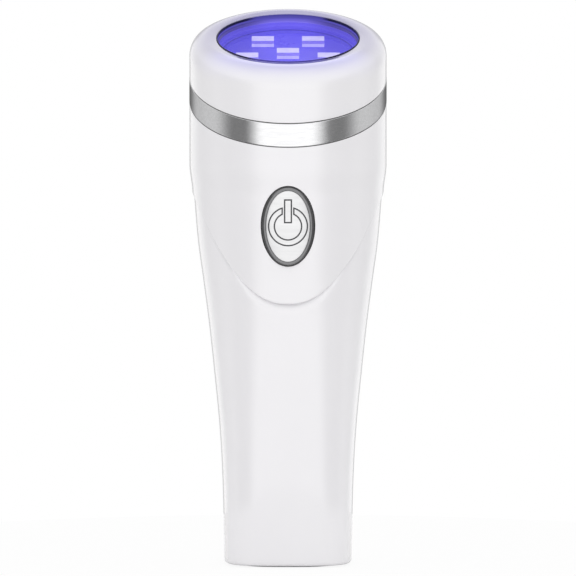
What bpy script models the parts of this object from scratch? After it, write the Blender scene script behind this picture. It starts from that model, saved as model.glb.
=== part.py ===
"""Handheld acne light therapy device: a lit round head on a flared handle, standing on its foot.

+Z is up, the button side faces -Y, and the origin is the middle of the foot.
"""
import math

import bmesh
import bpy
from mathutils import Matrix, Vector

MM = 0.001

# Fits shared by all pieces
CLEARANCE = 0.3 * MM
OVERRUN = 2.0 * MM
RING_POINTS = 64
MIDDLE_RING_POINTS = 44
SMALL_RING_POINTS = 28

# Head
HEAD_RADIUS = 23.0 * MM
LENS_TILT = math.radians(17.0)
LENS_CENTRE_HEIGHT = 122.85 * MM
OPENING_BORDER = 6.3 * MM
OPENING_RADIUS = HEAD_RADIUS - OPENING_BORDER
CREST_WIDTH = 2.1 * MM
CREST_RADIUS = OPENING_RADIUS + CREST_WIDTH
CREST_RISE = 0.5 * MM
SHOULDER_DROP = 4.05 * MM
CAP_WALL = 1.8 * MM
CAP_LIP = 1.0 * MM

# Bright band, cut by one plane above and a steeper one below
RING_TOP_DROP = 9.25 * MM
RING_TOP_HEIGHT = LENS_CENTRE_HEIGHT - RING_TOP_DROP
RING_TOP_SLOPE = 0.412
RING_BAND = 5.2 * MM
RING_BOTTOM_HEIGHT = RING_TOP_HEIGHT - RING_BAND
RING_BOTTOM_SLOPE = 0.415
RING_PROUD = 0.05 * MM
RING_WALL = 1.6 * MM
RING_EDGE = 0.25 * MM

# Light engine, stacked down from the opening along the head's tilted axis
GASKET_THICK = 0.5 * MM
GASKET_SHOWS = 0.6 * MM
GASKET_BORE = OPENING_RADIUS - GASKET_SHOWS
LENS_LAP = 1.7 * MM
LENS_RADIUS = OPENING_RADIUS + LENS_LAP
LENS_THICK = 1.4 * MM
LENS_DOME = 0.3 * MM
CUP_TOP_STEP = 0.1 * MM
CUP_TOP_RADIUS = GASKET_BORE - CUP_TOP_STEP
CUP_LEDGE_STEP = 0.5 * MM
CUP_LEDGE_RADIUS = CUP_TOP_RADIUS - CUP_LEDGE_STEP
CUP_LEDGE_DROP = 1.2 * MM
CUP_TAPER = 0.6 * MM
CUP_FLOOR_RADIUS = CUP_LEDGE_RADIUS - CUP_TAPER
CUP_WALL = 1.0 * MM
LED_DEPTH = 4.2 * MM
LED_SIDE = 5.0 * MM
LED_HEIGHT = 1.1 * MM
LED_WINDOW = 3.8 * MM
LED_DISH = 0.25 * MM
LED_COUNT = 5
LED_MARGIN = 4.7 * MM
LED_CIRCLE = CUP_FLOOR_RADIUS - LED_MARGIN
BOARD_THICK = 1.6 * MM
BOARD_SEAT = 0.05 * MM
SINK_PLATE = 1.5 * MM
SINK_FIN_HEIGHT = 3.0 * MM
SINK_FIN_THICK = 1.0 * MM
SINK_FIN_COUNT = 6
SINK_MARGIN = 1.3 * MM
SINK_RADIUS = CUP_FLOOR_RADIUS - SINK_MARGIN

# Height of the power button, a set way below the band's front
BUTTON_BELOW_RING = 18.56 * MM
BUTTON_HEIGHT = RING_BOTTOM_HEIGHT - RING_BOTTOM_SLOPE * HEAD_RADIUS - BUTTON_BELOW_RING

# Handle
FOOT_HALF_WIDTH = 14.85 * MM
FOOT_HALF_DEPTH = 13.4 * MM
NECK_SIDE_STEP = 1.05 * MM
NECK_HALF_WIDTH = HEAD_RADIUS - NECK_SIDE_STEP
NECK_FRONT_STEP = 1.6 * MM
NECK_HALF_DEPTH = HEAD_RADIUS - NECK_FRONT_STEP
NECK_ABOVE_BUTTON = 6.4 * MM
NECK_HEIGHT = BUTTON_HEIGHT + NECK_ABOVE_BUTTON
SHELL_WALL = 2.0 * MM
SHELL_BOTTOM = 0.4 * MM
FOOT_EDGE = 0.8 * MM
FOOT_SQUARENESS = 2.9
NECK_SQUARENESS = 2.0
SEAM_GAP = 0.3 * MM
FLARE_HEIGHT_SHARES = (0.0, 0.063, 0.257, 0.386, 0.515, 0.644, 0.773, 0.870, 1.0)
FLARE_WIDTH_SHARES = (0.0, 0.010, 0.077, 0.176, 0.331, 0.500, 0.704, 0.866, 1.0)
SHELL_LEVELS = 9

# Upper housing, whose shield runs down the front over the handle
SHIELD_BELOW_BUTTON = 18.3 * MM
SHIELD_TIP_HEIGHT = BUTTON_HEIGHT - SHIELD_BELOW_BUTTON
SHIELD_POWER = 2.4
HOUSING_PROUD = 0.35 * MM
HOUSING_EDGE = 0.35 * MM
SHOULDER_RISE = 6.8 * MM
SHOULDER_HEIGHT = NECK_HEIGHT + SHOULDER_RISE
HOUSING_LEVELS = 10

# Liner that joins the handle to the upper housing from inside
LINER_WALL = 1.2 * MM
LINER_OVERLAP = 9.0 * MM
LINER_ABOVE_NECK = 10.3 * MM
LINER_TOP = NECK_HEIGHT + LINER_ABOVE_NECK

# Power button
BEZEL_HALF_WIDTH = 6.35 * MM
BEZEL_HALF_HEIGHT = 9.42 * MM
BEZEL_BAND = 1.05 * MM
BEZEL_PROUD = 0.3 * MM
BEZEL_FIT = 0.15 * MM
BEZEL_DEPTH = 4.2 * MM
BEZEL_EDGE = 0.3 * MM
BUTTON_GAP = 0.12 * MM
BUTTON_PROUD = 0.25 * MM
BUTTON_DOME = 0.25 * MM
BUTTON_DEPTH = 2.6 * MM
BUTTON_TRAVEL = 0.8 * MM
PAD_HALF_WIDTH = 4.2 * MM
PAD_HALF_HEIGHT = 6.5 * MM
PAD_THICK = 1.0 * MM
SWITCH_SIDE = 6.0 * MM
SWITCH_THICK = 3.5 * MM
PLUNGER_RADIUS = 1.7 * MM
PLUNGER_HEIGHT = 1.0 * MM
WINDOW_MARGIN = 1.0 * MM

# Control board behind the button
PCB_WIDTH = 20.0 * MM
PCB_HEIGHT = 30.0 * MM
PCB_THICK = 1.6 * MM

# Battery bay in the lower handle, open to the back under the door
CONTACT_THICK = 0.4 * MM
CELL_RADIUS = 5.2 * MM
CELL_LENGTH = 43.6 * MM
CELL_NUB_RADIUS = 1.9 * MM
CELL_NUB_HEIGHT = 0.9 * MM
TRAY_WALL = 1.2 * MM
SPRING_LENGTH = 4.8 * MM
TRAY_END_GAP = 0.2 * MM
TRAY_LENGTH = CELL_LENGTH + CELL_NUB_HEIGHT + SPRING_LENGTH + 2.0 * (TRAY_WALL + CONTACT_THICK) + TRAY_END_GAP
TRAY_BASE_HEIGHT = 7.0 * MM
TRAY_BACK = 4.2 * MM
CONTACT_WIDTH = 8.0 * MM
CONTACT_HEIGHT = 6.0 * MM
COIL_RADIUS = 2.8 * MM
COIL_WIRE = 0.3 * MM
COIL_TURNS = 3
COIL_POINTS = 10
COIL_SIDES = 6
DOOR_HALF_WIDTH = 10.2 * MM
DOOR_BOTTOM = 9.0 * MM
DOOR_LENGTH = 46.0 * MM
DOOR_CORNER = 3.0 * MM
DOOR_WALL = 1.6 * MM
DOOR_GAP = 0.35 * MM
GRIP_COUNT = 4
GRIP_PITCH = 1.6 * MM
GRIP_HALF_WIDTH = 4.5 * MM
GRIP_HEIGHT = 0.7 * MM
GRIP_DEPTH = 0.35 * MM
GRIP_DROP = 5.0 * MM

# Foot
CAP_THICK = 2.4 * MM
PAD_SHARE = 0.74

# Screws
SCREW_RADIUS = 1.0 * MM
SCREW_HEAD_RADIUS = 1.9 * MM
SCREW_HEAD_HEIGHT = 1.3 * MM
SCREW_LENGTH = 5.0 * MM
SCREW_BELOW_NECK = 16.7 * MM
SCREW_LEVEL = NECK_HEIGHT - SCREW_BELOW_NECK
SCREW_SPREAD = 7.0 * MM
SCREW_SUNK = 0.4 * MM
SCREW_SLOT_HALF = 1.1 * MM
SCREW_SLOT_WIDTH = 0.4 * MM
SCREW_SLOT_DEPTH = 0.9 * MM
SCREW_FIT = 0.1 * MM
BOSS_WALL = 1.1 * MM
BOSS_DEPTH = 3.2 * MM
BOSS_SET = 0.6 * MM

# Direction of the button side round a section, in radians
FRONT = -0.5 * math.pi


def clear_scene():
    for item in list(bpy.data.objects):
        bpy.data.objects.remove(item, do_unlink=True)


def make_material(name, colour, roughness, metallic=0.0, alpha=1.0):
    material = bpy.data.materials.new(name)
    material.use_nodes = True
    shader = material.node_tree.nodes["Principled BSDF"]
    shader.inputs["Base Color"].default_value = (*colour, 1.0)
    shader.inputs["Roughness"].default_value = roughness
    shader.inputs["Metallic"].default_value = metallic
    shader.inputs["Alpha"].default_value = alpha
    material.diffuse_color = (*colour, alpha)
    return material


def white_gloss(name):
    return make_material(name, (0.88, 0.87, 0.89), 0.16)


def bright_metal(name):
    return make_material(name, (0.72, 0.72, 0.74), 0.16, 1.0)


def steel(name):
    return make_material(name, (0.55, 0.55, 0.56), 0.35, 1.0)


def add_mesh(name, vertices, faces, material, sharp_degrees=35.0):
    """Make one named object from points and faces, smooth but for its sharp edges."""
    mesh = bpy.data.meshes.new(name)
    mesh.from_pydata([tuple(v) for v in vertices], [], faces)
    body = bmesh.new()
    body.from_mesh(mesh)
    bmesh.ops.recalc_face_normals(body, faces=body.faces)
    body.to_mesh(mesh)
    body.free()
    mesh.shade_smooth()
    mesh.set_sharp_from_angle(angle=math.radians(sharp_degrees))
    mesh.materials.append(material)
    item = bpy.data.objects.new(name, mesh)
    bpy.context.scene.collection.objects.link(item)
    return item


def ring_faces(first, second, count):
    """Quads between two closed rings of equal count, by their first index."""
    return [(first + i, first + (i + 1) % count, second + (i + 1) % count, second + i)
            for i in range(count)]


def loft(name, rings, material, loop=False, sharp_degrees=35.0):
    """Skin closed rings in order: capped at both ends, or joined end to start for a hollow body."""
    count = len(rings[0])
    vertices = [point for ring in rings for point in ring]
    faces = []
    for level in range(len(rings) - 1):
        faces += ring_faces(level * count, (level + 1) * count, count)
    if loop:
        faces += ring_faces((len(rings) - 1) * count, 0, count)
    else:
        faces.append(tuple(range(count)))
        faces.append(tuple(range((len(rings) - 1) * count, len(rings) * count)))
    return add_mesh(name, vertices, faces, material, sharp_degrees)


def angles(count):
    return [2.0 * math.pi * i / count for i in range(count)]


def circle(radius, height, count=RING_POINTS, centre_x=0.0, centre_y=0.0):
    return [Vector((centre_x + radius * math.cos(a), centre_y + radius * math.sin(a), height))
            for a in angles(count)]


def turned(name, profile, material, loop=False, count=RING_POINTS, place=None):
    """Revolve (radius, height) pairs about Z; place moves the result's points."""
    rings = [circle(radius, height, count) for radius, height in profile]
    item = loft(name, rings, material, loop)
    if place is not None:
        item.data.transform(place)
    return item


def box(name, size, centre, material, place=None):
    """A plain block of a real rectangular piece."""
    half = [0.5 * s for s in size]
    corners = [(-1, -1), (1, -1), (1, 1), (-1, 1)]
    rings = [[Vector((centre[0] + sx * half[0], centre[1] + sy * half[1], centre[2] + sz * half[2]))
              for sx, sy in corners] for sz in (-1, 1)]
    item = loft(name, rings, material)
    if place is not None:
        item.data.transform(place)
    return item


def apply_boolean(target, cutter, operation):
    """Combine two objects exactly, keep the result in the target and drop the cutter."""
    modifier = target.modifiers.new(operation.lower(), "BOOLEAN")
    modifier.operation = operation
    modifier.solver = "EXACT"
    modifier.object = cutter
    bpy.context.view_layer.update()
    evaluated = target.evaluated_get(bpy.context.evaluated_depsgraph_get())
    result = bpy.data.meshes.new_from_object(evaluated)
    target.modifiers.remove(modifier)
    old = target.data
    target.data = result
    result.name = old.name
    bpy.data.meshes.remove(old)
    bpy.data.objects.remove(cutter, do_unlink=True)
    return target


def cut(target, cutter):
    return apply_boolean(target, cutter, "DIFFERENCE")


def join(target, added):
    return apply_boolean(target, added, "UNION")


def smooth_step(share):
    share = max(0.0, min(1.0, share))
    return share * share * (3.0 - 2.0 * share)


def flare_share(height):
    """How far the handle has opened from foot to neck at a height, on a smooth curve."""
    share = max(0.0, min(1.0, height / NECK_HEIGHT))
    xs, ys = FLARE_HEIGHT_SHARES, FLARE_WIDTH_SHARES
    slopes = []
    for i in range(len(xs)):
        low, high = max(0, i - 1), min(len(xs) - 1, i + 1)
        slopes.append((ys[high] - ys[low]) / (xs[high] - xs[low]))
    for i in range(len(xs) - 1):
        if share <= xs[i + 1]:
            span = xs[i + 1] - xs[i]
            t = (share - xs[i]) / span
            return ((2 * t ** 3 - 3 * t ** 2 + 1) * ys[i] + (t ** 3 - 2 * t ** 2 + t) * span * slopes[i]
                    + (3 * t ** 2 - 2 * t ** 3) * ys[i + 1] + (t ** 3 - t ** 2) * span * slopes[i + 1])
    return 1.0


def handle_section(height):
    """Half width, half depth and squareness of the handle's outside at a height."""
    share = flare_share(height)
    width = FOOT_HALF_WIDTH + (NECK_HALF_WIDTH - FOOT_HALF_WIDTH) * share
    depth = FOOT_HALF_DEPTH + (NECK_HALF_DEPTH - FOOT_HALF_DEPTH) * share
    square = FOOT_SQUARENESS + (NECK_SQUARENESS - FOOT_SQUARENESS) * smooth_step(height / NECK_HEIGHT)
    return width, depth, square


def housing_section(height):
    """The upper housing's outside: a little proud of the handle, then out to the head."""
    width, depth, square = handle_section(height)
    rise = smooth_step((height - NECK_HEIGHT) / (SHOULDER_HEIGHT - NECK_HEIGHT))
    width += HOUSING_PROUD + (HEAD_RADIUS - NECK_HALF_WIDTH - HOUSING_PROUD) * rise
    depth += HOUSING_PROUD + (HEAD_RADIUS - NECK_HALF_DEPTH - HOUSING_PROUD) * rise
    return width, depth, square


def section_point(section, angle, height, inset=0.0):
    """A point on a rounded section, set in by a wall where that is asked for."""
    width, depth, square = section
    width, depth = width - inset, depth - inset
    c, s = math.cos(angle), math.sin(angle)
    reach = (abs(c) ** square + abs(s) ** square) ** (-1.0 / square)
    return Vector((width * reach * c, depth * reach * s, height))


def shield_edge(angle):
    """Height of the line where the upper housing meets the handle, deepest at the front."""
    if math.sin(angle) >= 0.0:
        return NECK_HEIGHT
    return SHIELD_TIP_HEIGHT + (NECK_HEIGHT - SHIELD_TIP_HEIGHT) * abs(math.cos(angle)) ** SHIELD_POWER


def ring_top_at(y):
    return RING_TOP_HEIGHT + RING_TOP_SLOPE * y


def ring_bottom_at(y):
    return RING_BOTTOM_HEIGHT + RING_BOTTOM_SLOPE * y


def head_frame():
    """Placement of the head's own axis: the opening's centre, tilted to the front."""
    return Matrix.Translation((0.0, 0.0, LENS_CENTRE_HEIGHT)) @ Matrix.Rotation(LENS_TILT, 4, "X")


def tilted_circle(radius, depth):
    """A ring about the head's tilted axis, at a depth below the opening."""
    frame = head_frame()
    return [frame @ p for p in circle(radius, -depth)]


def sheared_circle(radius, height, slope):
    """A ring on the head's upright wall, cut by a sloping plane."""
    return [Vector((p.x, p.y, height + slope * p.y)) for p in circle(radius, 0.0)]


def blend_rings(first, second, share_out, share_up):
    """A ring between two others, with its own share outwards and upwards."""
    return [Vector((a.x + (b.x - a.x) * share_out, a.y + (b.y - a.y) * share_out,
                    a.z + (b.z - a.z) * share_up)) for a, b in zip(first, second)]


def quarter_rings(outer, inner, steps):
    """Rings over a quarter round from an outer low ring to an inner high one."""
    rings = []
    for i in range(1, steps):
        turn = 0.5 * math.pi * i / steps
        rings.append(blend_rings(outer, inner, 1.0 - math.cos(turn), math.sin(turn)))
    return rings


def build_head_bezel():
    """White domed cap: an upright wall that rounds over to the tilted opening."""
    low_height = RING_TOP_HEIGHT + CLEARANCE
    shoulder = LENS_CENTRE_HEIGHT - SHOULDER_DROP
    slope = math.tan(LENS_TILT)
    bottom = sheared_circle(HEAD_RADIUS, low_height, RING_TOP_SLOPE)
    side = sheared_circle(HEAD_RADIUS, shoulder, slope)
    crest = tilted_circle(CREST_RADIUS, -CREST_RISE)
    mouth = tilted_circle(OPENING_RADIUS, 0.0)
    lip = tilted_circle(OPENING_RADIUS, CAP_LIP)
    pocket = tilted_circle(LENS_RADIUS + CLEARANCE, CAP_LIP)
    pocket_depth = CAP_LIP + GASKET_THICK + LENS_THICK + CLEARANCE
    pocket_low = tilted_circle(LENS_RADIUS + CLEARANCE, pocket_depth)
    inner_low = sheared_circle(HEAD_RADIUS - CAP_WALL, low_height, RING_TOP_SLOPE)
    rings = [bottom, side] + quarter_rings(side, crest, 6) + [crest]
    rings += [blend_rings(crest, mouth, 0.45, 0.12), blend_rings(crest, mouth, 0.8, 0.45)]
    rings += [mouth, lip, pocket, pocket_low, inner_low]
    return loft("head_bezel", rings, white_gloss("cap white"), loop=True)


def build_lens_gasket():
    """Dark soft ring that seals the window under the cap's lip."""
    top = -CAP_LIP - BOARD_SEAT
    low = top - GASKET_THICK + BOARD_SEAT
    profile = [(GASKET_BORE, low), (LENS_RADIUS, low), (LENS_RADIUS, top), (GASKET_BORE, top)]
    material = make_material("seal black", (0.03, 0.03, 0.05), 0.5)
    return turned("lens_gasket", profile, material, loop=True, count=MIDDLE_RING_POINTS, place=head_frame())


def lens_top_depth():
    return CAP_LIP + GASKET_THICK + BOARD_SEAT


def build_lens():
    """Clear window, a little crowned on its outer face."""
    top = -lens_top_depth()
    low = top - LENS_THICK
    crown = CUP_TOP_RADIUS - LENS_DOME
    profile = [(LENS_RADIUS, low), (LENS_RADIUS, top), (GASKET_BORE - CLEARANCE, top),
               (crown * 0.7, top + LENS_DOME * 0.6), (crown * 0.35, top + LENS_DOME)]
    material = make_material("lens clear", (0.75, 0.78, 1.0), 0.03, alpha=0.3)
    return turned("lens", profile, material, place=head_frame())


def cup_top_depth():
    return lens_top_depth() + LENS_THICK + BOARD_SEAT


def floor_depth():
    return LED_DEPTH + LED_HEIGHT


def build_reflector_cup():
    """Bright stepped cup that rings the light sources under the window."""
    top = -cup_top_depth()
    ledge = top - CUP_LEDGE_DROP
    floor = -floor_depth()
    flange = ledge + CUP_LEDGE_DROP - CUP_WALL
    outer = CUP_LEDGE_RADIUS + CUP_WALL
    profile = [(CUP_FLOOR_RADIUS, floor), (CUP_FLOOR_RADIUS + CUP_WALL, floor), (outer, flange),
               (LENS_RADIUS, flange), (LENS_RADIUS, top), (CUP_TOP_RADIUS, top),
               (CUP_LEDGE_RADIUS, ledge)]
    material = make_material("cup bright", (0.6, 0.6, 0.75), 0.2, 0.8)
    return turned("reflector_cup", profile, material, loop=True, count=MIDDLE_RING_POINTS, place=head_frame())


def build_led_board():
    """Round board that carries the light sources."""
    top = -floor_depth() - BOARD_SEAT
    radius = CUP_FLOOR_RADIUS + CUP_WALL
    profile = [(radius, top - BOARD_THICK), (radius, top)]
    material = make_material("board white", (0.75, 0.75, 0.85), 0.4)
    return turned("led_board", profile, material, count=MIDDLE_RING_POINTS, place=head_frame())


def led_places():
    """The centre and a ring of five, with one at the front."""
    places = [(0.0, 0.0)]
    for i in range(LED_COUNT):
        turn = FRONT + 2.0 * math.pi * i / LED_COUNT
        places.append((LED_CIRCLE * math.cos(turn), LED_CIRCLE * math.sin(turn)))
    return places


def build_led(index, x, y):
    """Square light source with a dished round window in its top."""
    low = -floor_depth() + BOARD_SEAT
    top = -LED_DEPTH
    frame = head_frame()
    half = 0.5 * LED_SIDE
    window = 0.5 * LED_WINDOW
    count = 16

    def square(height, reach):
        points = []
        for a in angles(count):
            c, s = math.cos(a), math.sin(a)
            scale = reach / max(abs(c), abs(s))
            points.append(Vector((x + scale * c, y + scale * s, height)))
        return points

    rings = [square(low, half), square(top, half), circle(window, top, count, x, y),
             circle(window - LED_DISH, top - LED_DISH, count, x, y)]
    material = make_material(f"led {index}", (0.55, 0.5, 1.0), 0.3)
    item = loft(f"led_{index}", rings, material)
    item.data.transform(frame)
    return item


def build_heat_sink():
    """Finned plate that draws heat from the back of the board."""
    top = -floor_depth() - 2 * BOARD_SEAT - BOARD_THICK
    frame = head_frame()
    plate_low = top - SINK_PLATE
    material = make_material("sink aluminium", (0.6, 0.6, 0.62), 0.4, 1.0)
    sink = turned("heat_sink", [(SINK_RADIUS, plate_low), (SINK_RADIUS, top)], material, count=SMALL_RING_POINTS)
    pitch = 2.0 * SINK_RADIUS / (SINK_FIN_COUNT + 1)
    for i in range(SINK_FIN_COUNT):
        x = -SINK_RADIUS + pitch * (i + 1)
        half_length = math.sqrt(SINK_RADIUS ** 2 - x ** 2) - SINK_FIN_THICK
        height = SINK_FIN_HEIGHT + 0.5 * SINK_PLATE
        fin = box("fin", (SINK_FIN_THICK, 2.0 * half_length, height),
                  (x, 0.0, plate_low + 0.5 * SINK_PLATE - 0.5 * height), material)
        join(sink, fin)
    sink.data.transform(frame)
    return sink


def build_chrome_ring():
    """Bright band round the head, deeper at the front than at the back."""
    outer = HEAD_RADIUS + RING_PROUD
    inner = HEAD_RADIUS - RING_WALL
    top = sheared_circle(outer - RING_EDGE, RING_TOP_HEIGHT, RING_TOP_SLOPE)
    top_edge = sheared_circle(outer, RING_TOP_HEIGHT - RING_EDGE, RING_TOP_SLOPE)
    low_edge = sheared_circle(outer, RING_BOTTOM_HEIGHT + RING_EDGE, RING_BOTTOM_SLOPE)
    low = sheared_circle(outer - RING_EDGE, RING_BOTTOM_HEIGHT, RING_BOTTOM_SLOPE)
    inner_low = sheared_circle(inner, RING_BOTTOM_HEIGHT, RING_BOTTOM_SLOPE)
    inner_top = sheared_circle(inner, RING_TOP_HEIGHT, RING_TOP_SLOPE)
    rings = [low, low_edge, top_edge, top, inner_top, inner_low]
    return loft("chrome_ring", rings, bright_metal("ring chrome"), loop=True, sharp_degrees=25.0)


def build_upper_housing():
    """White housing between the bright band and the handle, with a shield down its front."""
    turns = angles(RING_POINTS)

    def level_ring(share, inset, edge_drop=0.0):
        points = []
        for a in turns:
            low = shield_edge(a) + edge_drop
            high = ring_bottom_at((HEAD_RADIUS - inset) * math.sin(a)) - CLEARANCE
            height = low + (high - low) * share
            points.append(section_point(housing_section(height), a, height, inset))
        return points

    outer = [level_ring(i / HOUSING_LEVELS, 0.0, HOUSING_EDGE if i == 0 else 0.0)
             for i in range(HOUSING_LEVELS + 1)]
    low_edge = level_ring(0.0, HOUSING_EDGE)
    inner = [level_ring(i / HOUSING_LEVELS, SHELL_WALL) for i in range(HOUSING_LEVELS, -1, -1)]
    return loft("upper_housing", [low_edge] + outer + inner, white_gloss("housing white"), loop=True)


def handle_tube(name, inset_inner, material, top_gap=CLEARANCE):
    """The handle's wall as one tube, cut off above along the shield's line."""
    turns = angles(RING_POINTS)

    def level_ring(share, inset, lift=0.0):
        points = []
        for a in turns:
            high = shield_edge(a) - top_gap
            height = SHELL_BOTTOM + lift + (high - SHELL_BOTTOM - lift) * share
            points.append(section_point(handle_section(height), a, height, inset))
        return points

    foot = [level_ring(0.0, FOOT_EDGE)]
    outer = [level_ring(i / SHELL_LEVELS, 0.0, FOOT_EDGE) for i in range(SHELL_LEVELS + 1)]
    inner = [level_ring(i / SHELL_LEVELS, inset_inner) for i in range(SHELL_LEVELS, -1, -1)]
    return loft(name, foot + outer + inner, material, loop=True)


def half_space(side):
    """A block that covers everything in front of, or behind, the side seam."""
    reach = 2.0 * HEAD_RADIUS
    height = NECK_HEIGHT + reach
    centre = (0.0, side * 0.5 * (reach + SEAM_GAP), 0.5 * height - OVERRUN)
    return box("half", (2.0 * reach, reach, height), centre, None)


def door_prism(half_width, low, high, corner):
    """Rounded upright rectangle, pushed through the back wall."""
    points = []
    steps = 6
    centres = [(half_width - corner, high - corner, 0), (corner - half_width, high - corner, 1),
               (corner - half_width, low + corner, 2), (half_width - corner, low + corner, 3)]
    for x, z, quarter in centres:
        for i in range(steps + 1):
            turn = 0.5 * math.pi * (quarter + i / steps)
            points.append((x + corner * math.cos(turn), z + corner * math.sin(turn)))
    rings = [[Vector((x, y, z)) for x, z in points] for y in (TRAY_BACK, HEAD_RADIUS)]
    return loft("prism", rings, None)


def screw_places():
    return [(-SCREW_SPREAD, SCREW_LEVEL), (SCREW_SPREAD, SCREW_LEVEL)]


def back_surface_at(x, height, inset=0.0):
    """Depth of the handle's back at a place, from its own section."""
    width, depth, square = handle_section(height)
    width, depth = width - inset, depth - inset
    return depth * (1.0 - abs(x / width) ** square) ** (1.0 / square)


def rod_along_y(name, radius, start, end, x, z, material, count=SMALL_RING_POINTS // 2):
    """A round bar that runs from front to back."""
    rings = [[Vector((x + radius * math.cos(a), y, z + radius * math.sin(a))) for a in angles(count)]
             for y in (start, end)]
    return loft(name, rings, material)


def build_handle_front_shell():
    shell = handle_tube("handle_front_shell", SHELL_WALL, white_gloss("front shell white"))
    return apply_boolean(shell, half_space(-1.0), "INTERSECT")


def build_handle_rear_shell():
    """Back half of the handle, with the battery opening and two sunk screw holes."""
    shell = handle_tube("handle_rear_shell", SHELL_WALL, white_gloss("rear shell white"))
    apply_boolean(shell, half_space(1.0), "INTERSECT")
    cut(shell, door_prism(DOOR_HALF_WIDTH + DOOR_GAP, DOOR_BOTTOM - DOOR_GAP,
                          DOOR_BOTTOM + DOOR_LENGTH + DOOR_GAP, DOOR_CORNER + DOOR_GAP))
    for x, z in screw_places():
        face = back_surface_at(x, z)
        seat = face - SCREW_SUNK - SCREW_HEAD_HEIGHT
        cut(shell, rod_along_y("hole", SCREW_RADIUS + CLEARANCE, 0.0, face + OVERRUN, x, z, None))
        cut(shell, rod_along_y("sink", SCREW_HEAD_RADIUS + CLEARANCE, seat, face + OVERRUN, x, z, None))
    return shell


def build_shell_screw(index, x, z):
    """A cross-slotted screw from the back, through the rear shell into the liner's boss."""
    material = steel(f"screw steel {index + 1}")
    top = back_surface_at(x, z) - SCREW_SUNK
    seat = top - SCREW_HEAD_HEIGHT + BOARD_SEAT
    screw = rod_along_y(f"shell_screw_{index + 1}", SCREW_HEAD_RADIUS, seat, top, x, z, material)
    join(screw, rod_along_y("stem", SCREW_RADIUS, seat - SCREW_LENGTH, seat + BOARD_SEAT, x, z, material))
    for turn in (0.0, 0.5 * math.pi):
        size = (2.0 * SCREW_SLOT_HALF, SCREW_SLOT_DEPTH, SCREW_SLOT_WIDTH)
        place = Matrix.Translation((x, top, z)) @ Matrix.Rotation(turn, 4, "Y")
        cut(screw, box("slot", size, (0.0, 0.0, 0.0), None, place))
    return screw


def build_neck_liner():
    """Inner tube that bridges the handle and the upper housing and takes the screws."""
    low = SHIELD_TIP_HEIGHT - LINER_OVERLAP
    outer_inset = SHELL_WALL + CLEARANCE
    inner_inset = outer_inset + LINER_WALL
    turns = angles(MIDDLE_RING_POINTS)
    steps = 4

    def level_ring(share, inset):
        height = low + (LINER_TOP - low) * share
        return [section_point(handle_section(height), a, height, inset) for a in turns]

    rings = [level_ring(i / steps, outer_inset) for i in range(steps + 1)]
    rings += [level_ring(i / steps, inner_inset) for i in range(steps, -1, -1)]
    liner = loft("neck_liner", rings, white_gloss("liner white"), loop=True)
    for x, z in screw_places():
        wall = back_surface_at(x, z, outer_inset)
        end = wall - LINER_WALL - BOSS_DEPTH
        join(liner, rod_along_y("boss", SCREW_RADIUS + BOSS_WALL, end, wall - BOSS_SET, x, z, None))
        cut(liner, rod_along_y("bore", SCREW_RADIUS + SCREW_FIT, end - OVERRUN, wall + OVERRUN, x, z, None))
    window = ellipse_bar("window", BEZEL_HALF_WIDTH + WINDOW_MARGIN, BEZEL_HALF_HEIGHT + WINDOW_MARGIN,
                         -BEZEL_DEPTH - OVERRUN, OVERRUN, None, MIDDLE_RING_POINTS)
    return cut(liner, window)


def button_frame():
    """Placement of the button's face: middle of the shield, leaning with the wall."""
    step = CLEARANCE
    low, high = housing_section(BUTTON_HEIGHT - step)[1], housing_section(BUTTON_HEIGHT + step)[1]
    lean = math.atan2(high - low, 2.0 * step)
    depth = housing_section(BUTTON_HEIGHT)[1]
    place = Matrix.Translation((0.0, -depth, BUTTON_HEIGHT))
    return place @ Matrix.Rotation(0.5 * math.pi + lean, 4, "X")


def face_sag(x):
    """How far the rounded front falls back at a distance from its middle line."""
    radius = housing_section(BUTTON_HEIGHT)[0]
    return radius - math.sqrt(radius ** 2 - x ** 2)


def oval(half_width, half_height, height, sag_share=0.0, count=MIDDLE_RING_POINTS):
    """An oval ring on the button's own face, bowed with the wall by a share."""
    points = []
    for a in angles(count):
        x = half_width * math.cos(a)
        points.append(Vector((x, half_height * math.sin(a), height - sag_share * face_sag(x))))
    return points


def ellipse_bar(name, half_width, half_height, low, high, material, count=MIDDLE_RING_POINTS):
    """A straight oval bar square to the button's face."""
    item = loft(name, [oval(half_width, half_height, z, 0.0, count) for z in (low, high)], material)
    item.data.transform(button_frame())
    return item


def build_button_bezel():
    """Dark bright oval rim, bowed with the shield it is set into."""
    inner_w, inner_h = BEZEL_HALF_WIDTH - BEZEL_BAND, BEZEL_HALF_HEIGHT - BEZEL_BAND
    low = BEZEL_PROUD - BEZEL_DEPTH
    edge_w, edge_h = BEZEL_HALF_WIDTH - BEZEL_EDGE, BEZEL_HALF_HEIGHT - BEZEL_EDGE
    in_edge_w, in_edge_h = inner_w + BEZEL_EDGE, inner_h + BEZEL_EDGE
    rings = [oval(BEZEL_HALF_WIDTH, BEZEL_HALF_HEIGHT, low),
             oval(BEZEL_HALF_WIDTH, BEZEL_HALF_HEIGHT, BEZEL_PROUD - BEZEL_EDGE, 1.0),
             oval(edge_w, edge_h, BEZEL_PROUD, 1.0),
             oval(in_edge_w, in_edge_h, BEZEL_PROUD, 1.0),
             oval(inner_w, inner_h, BEZEL_PROUD - BEZEL_EDGE, 1.0),
             oval(inner_w, inner_h, low)]
    bezel = loft("button_bezel", rings, make_material("bezel dark chrome", (0.3, 0.3, 0.32), 0.2, 1.0),
                 loop=True, sharp_degrees=25.0)
    bezel.data.transform(button_frame())
    return bezel


def button_half_sizes():
    return (BEZEL_HALF_WIDTH - BEZEL_BAND - BUTTON_GAP, BEZEL_HALF_HEIGHT - BEZEL_BAND - BUTTON_GAP)


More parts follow.
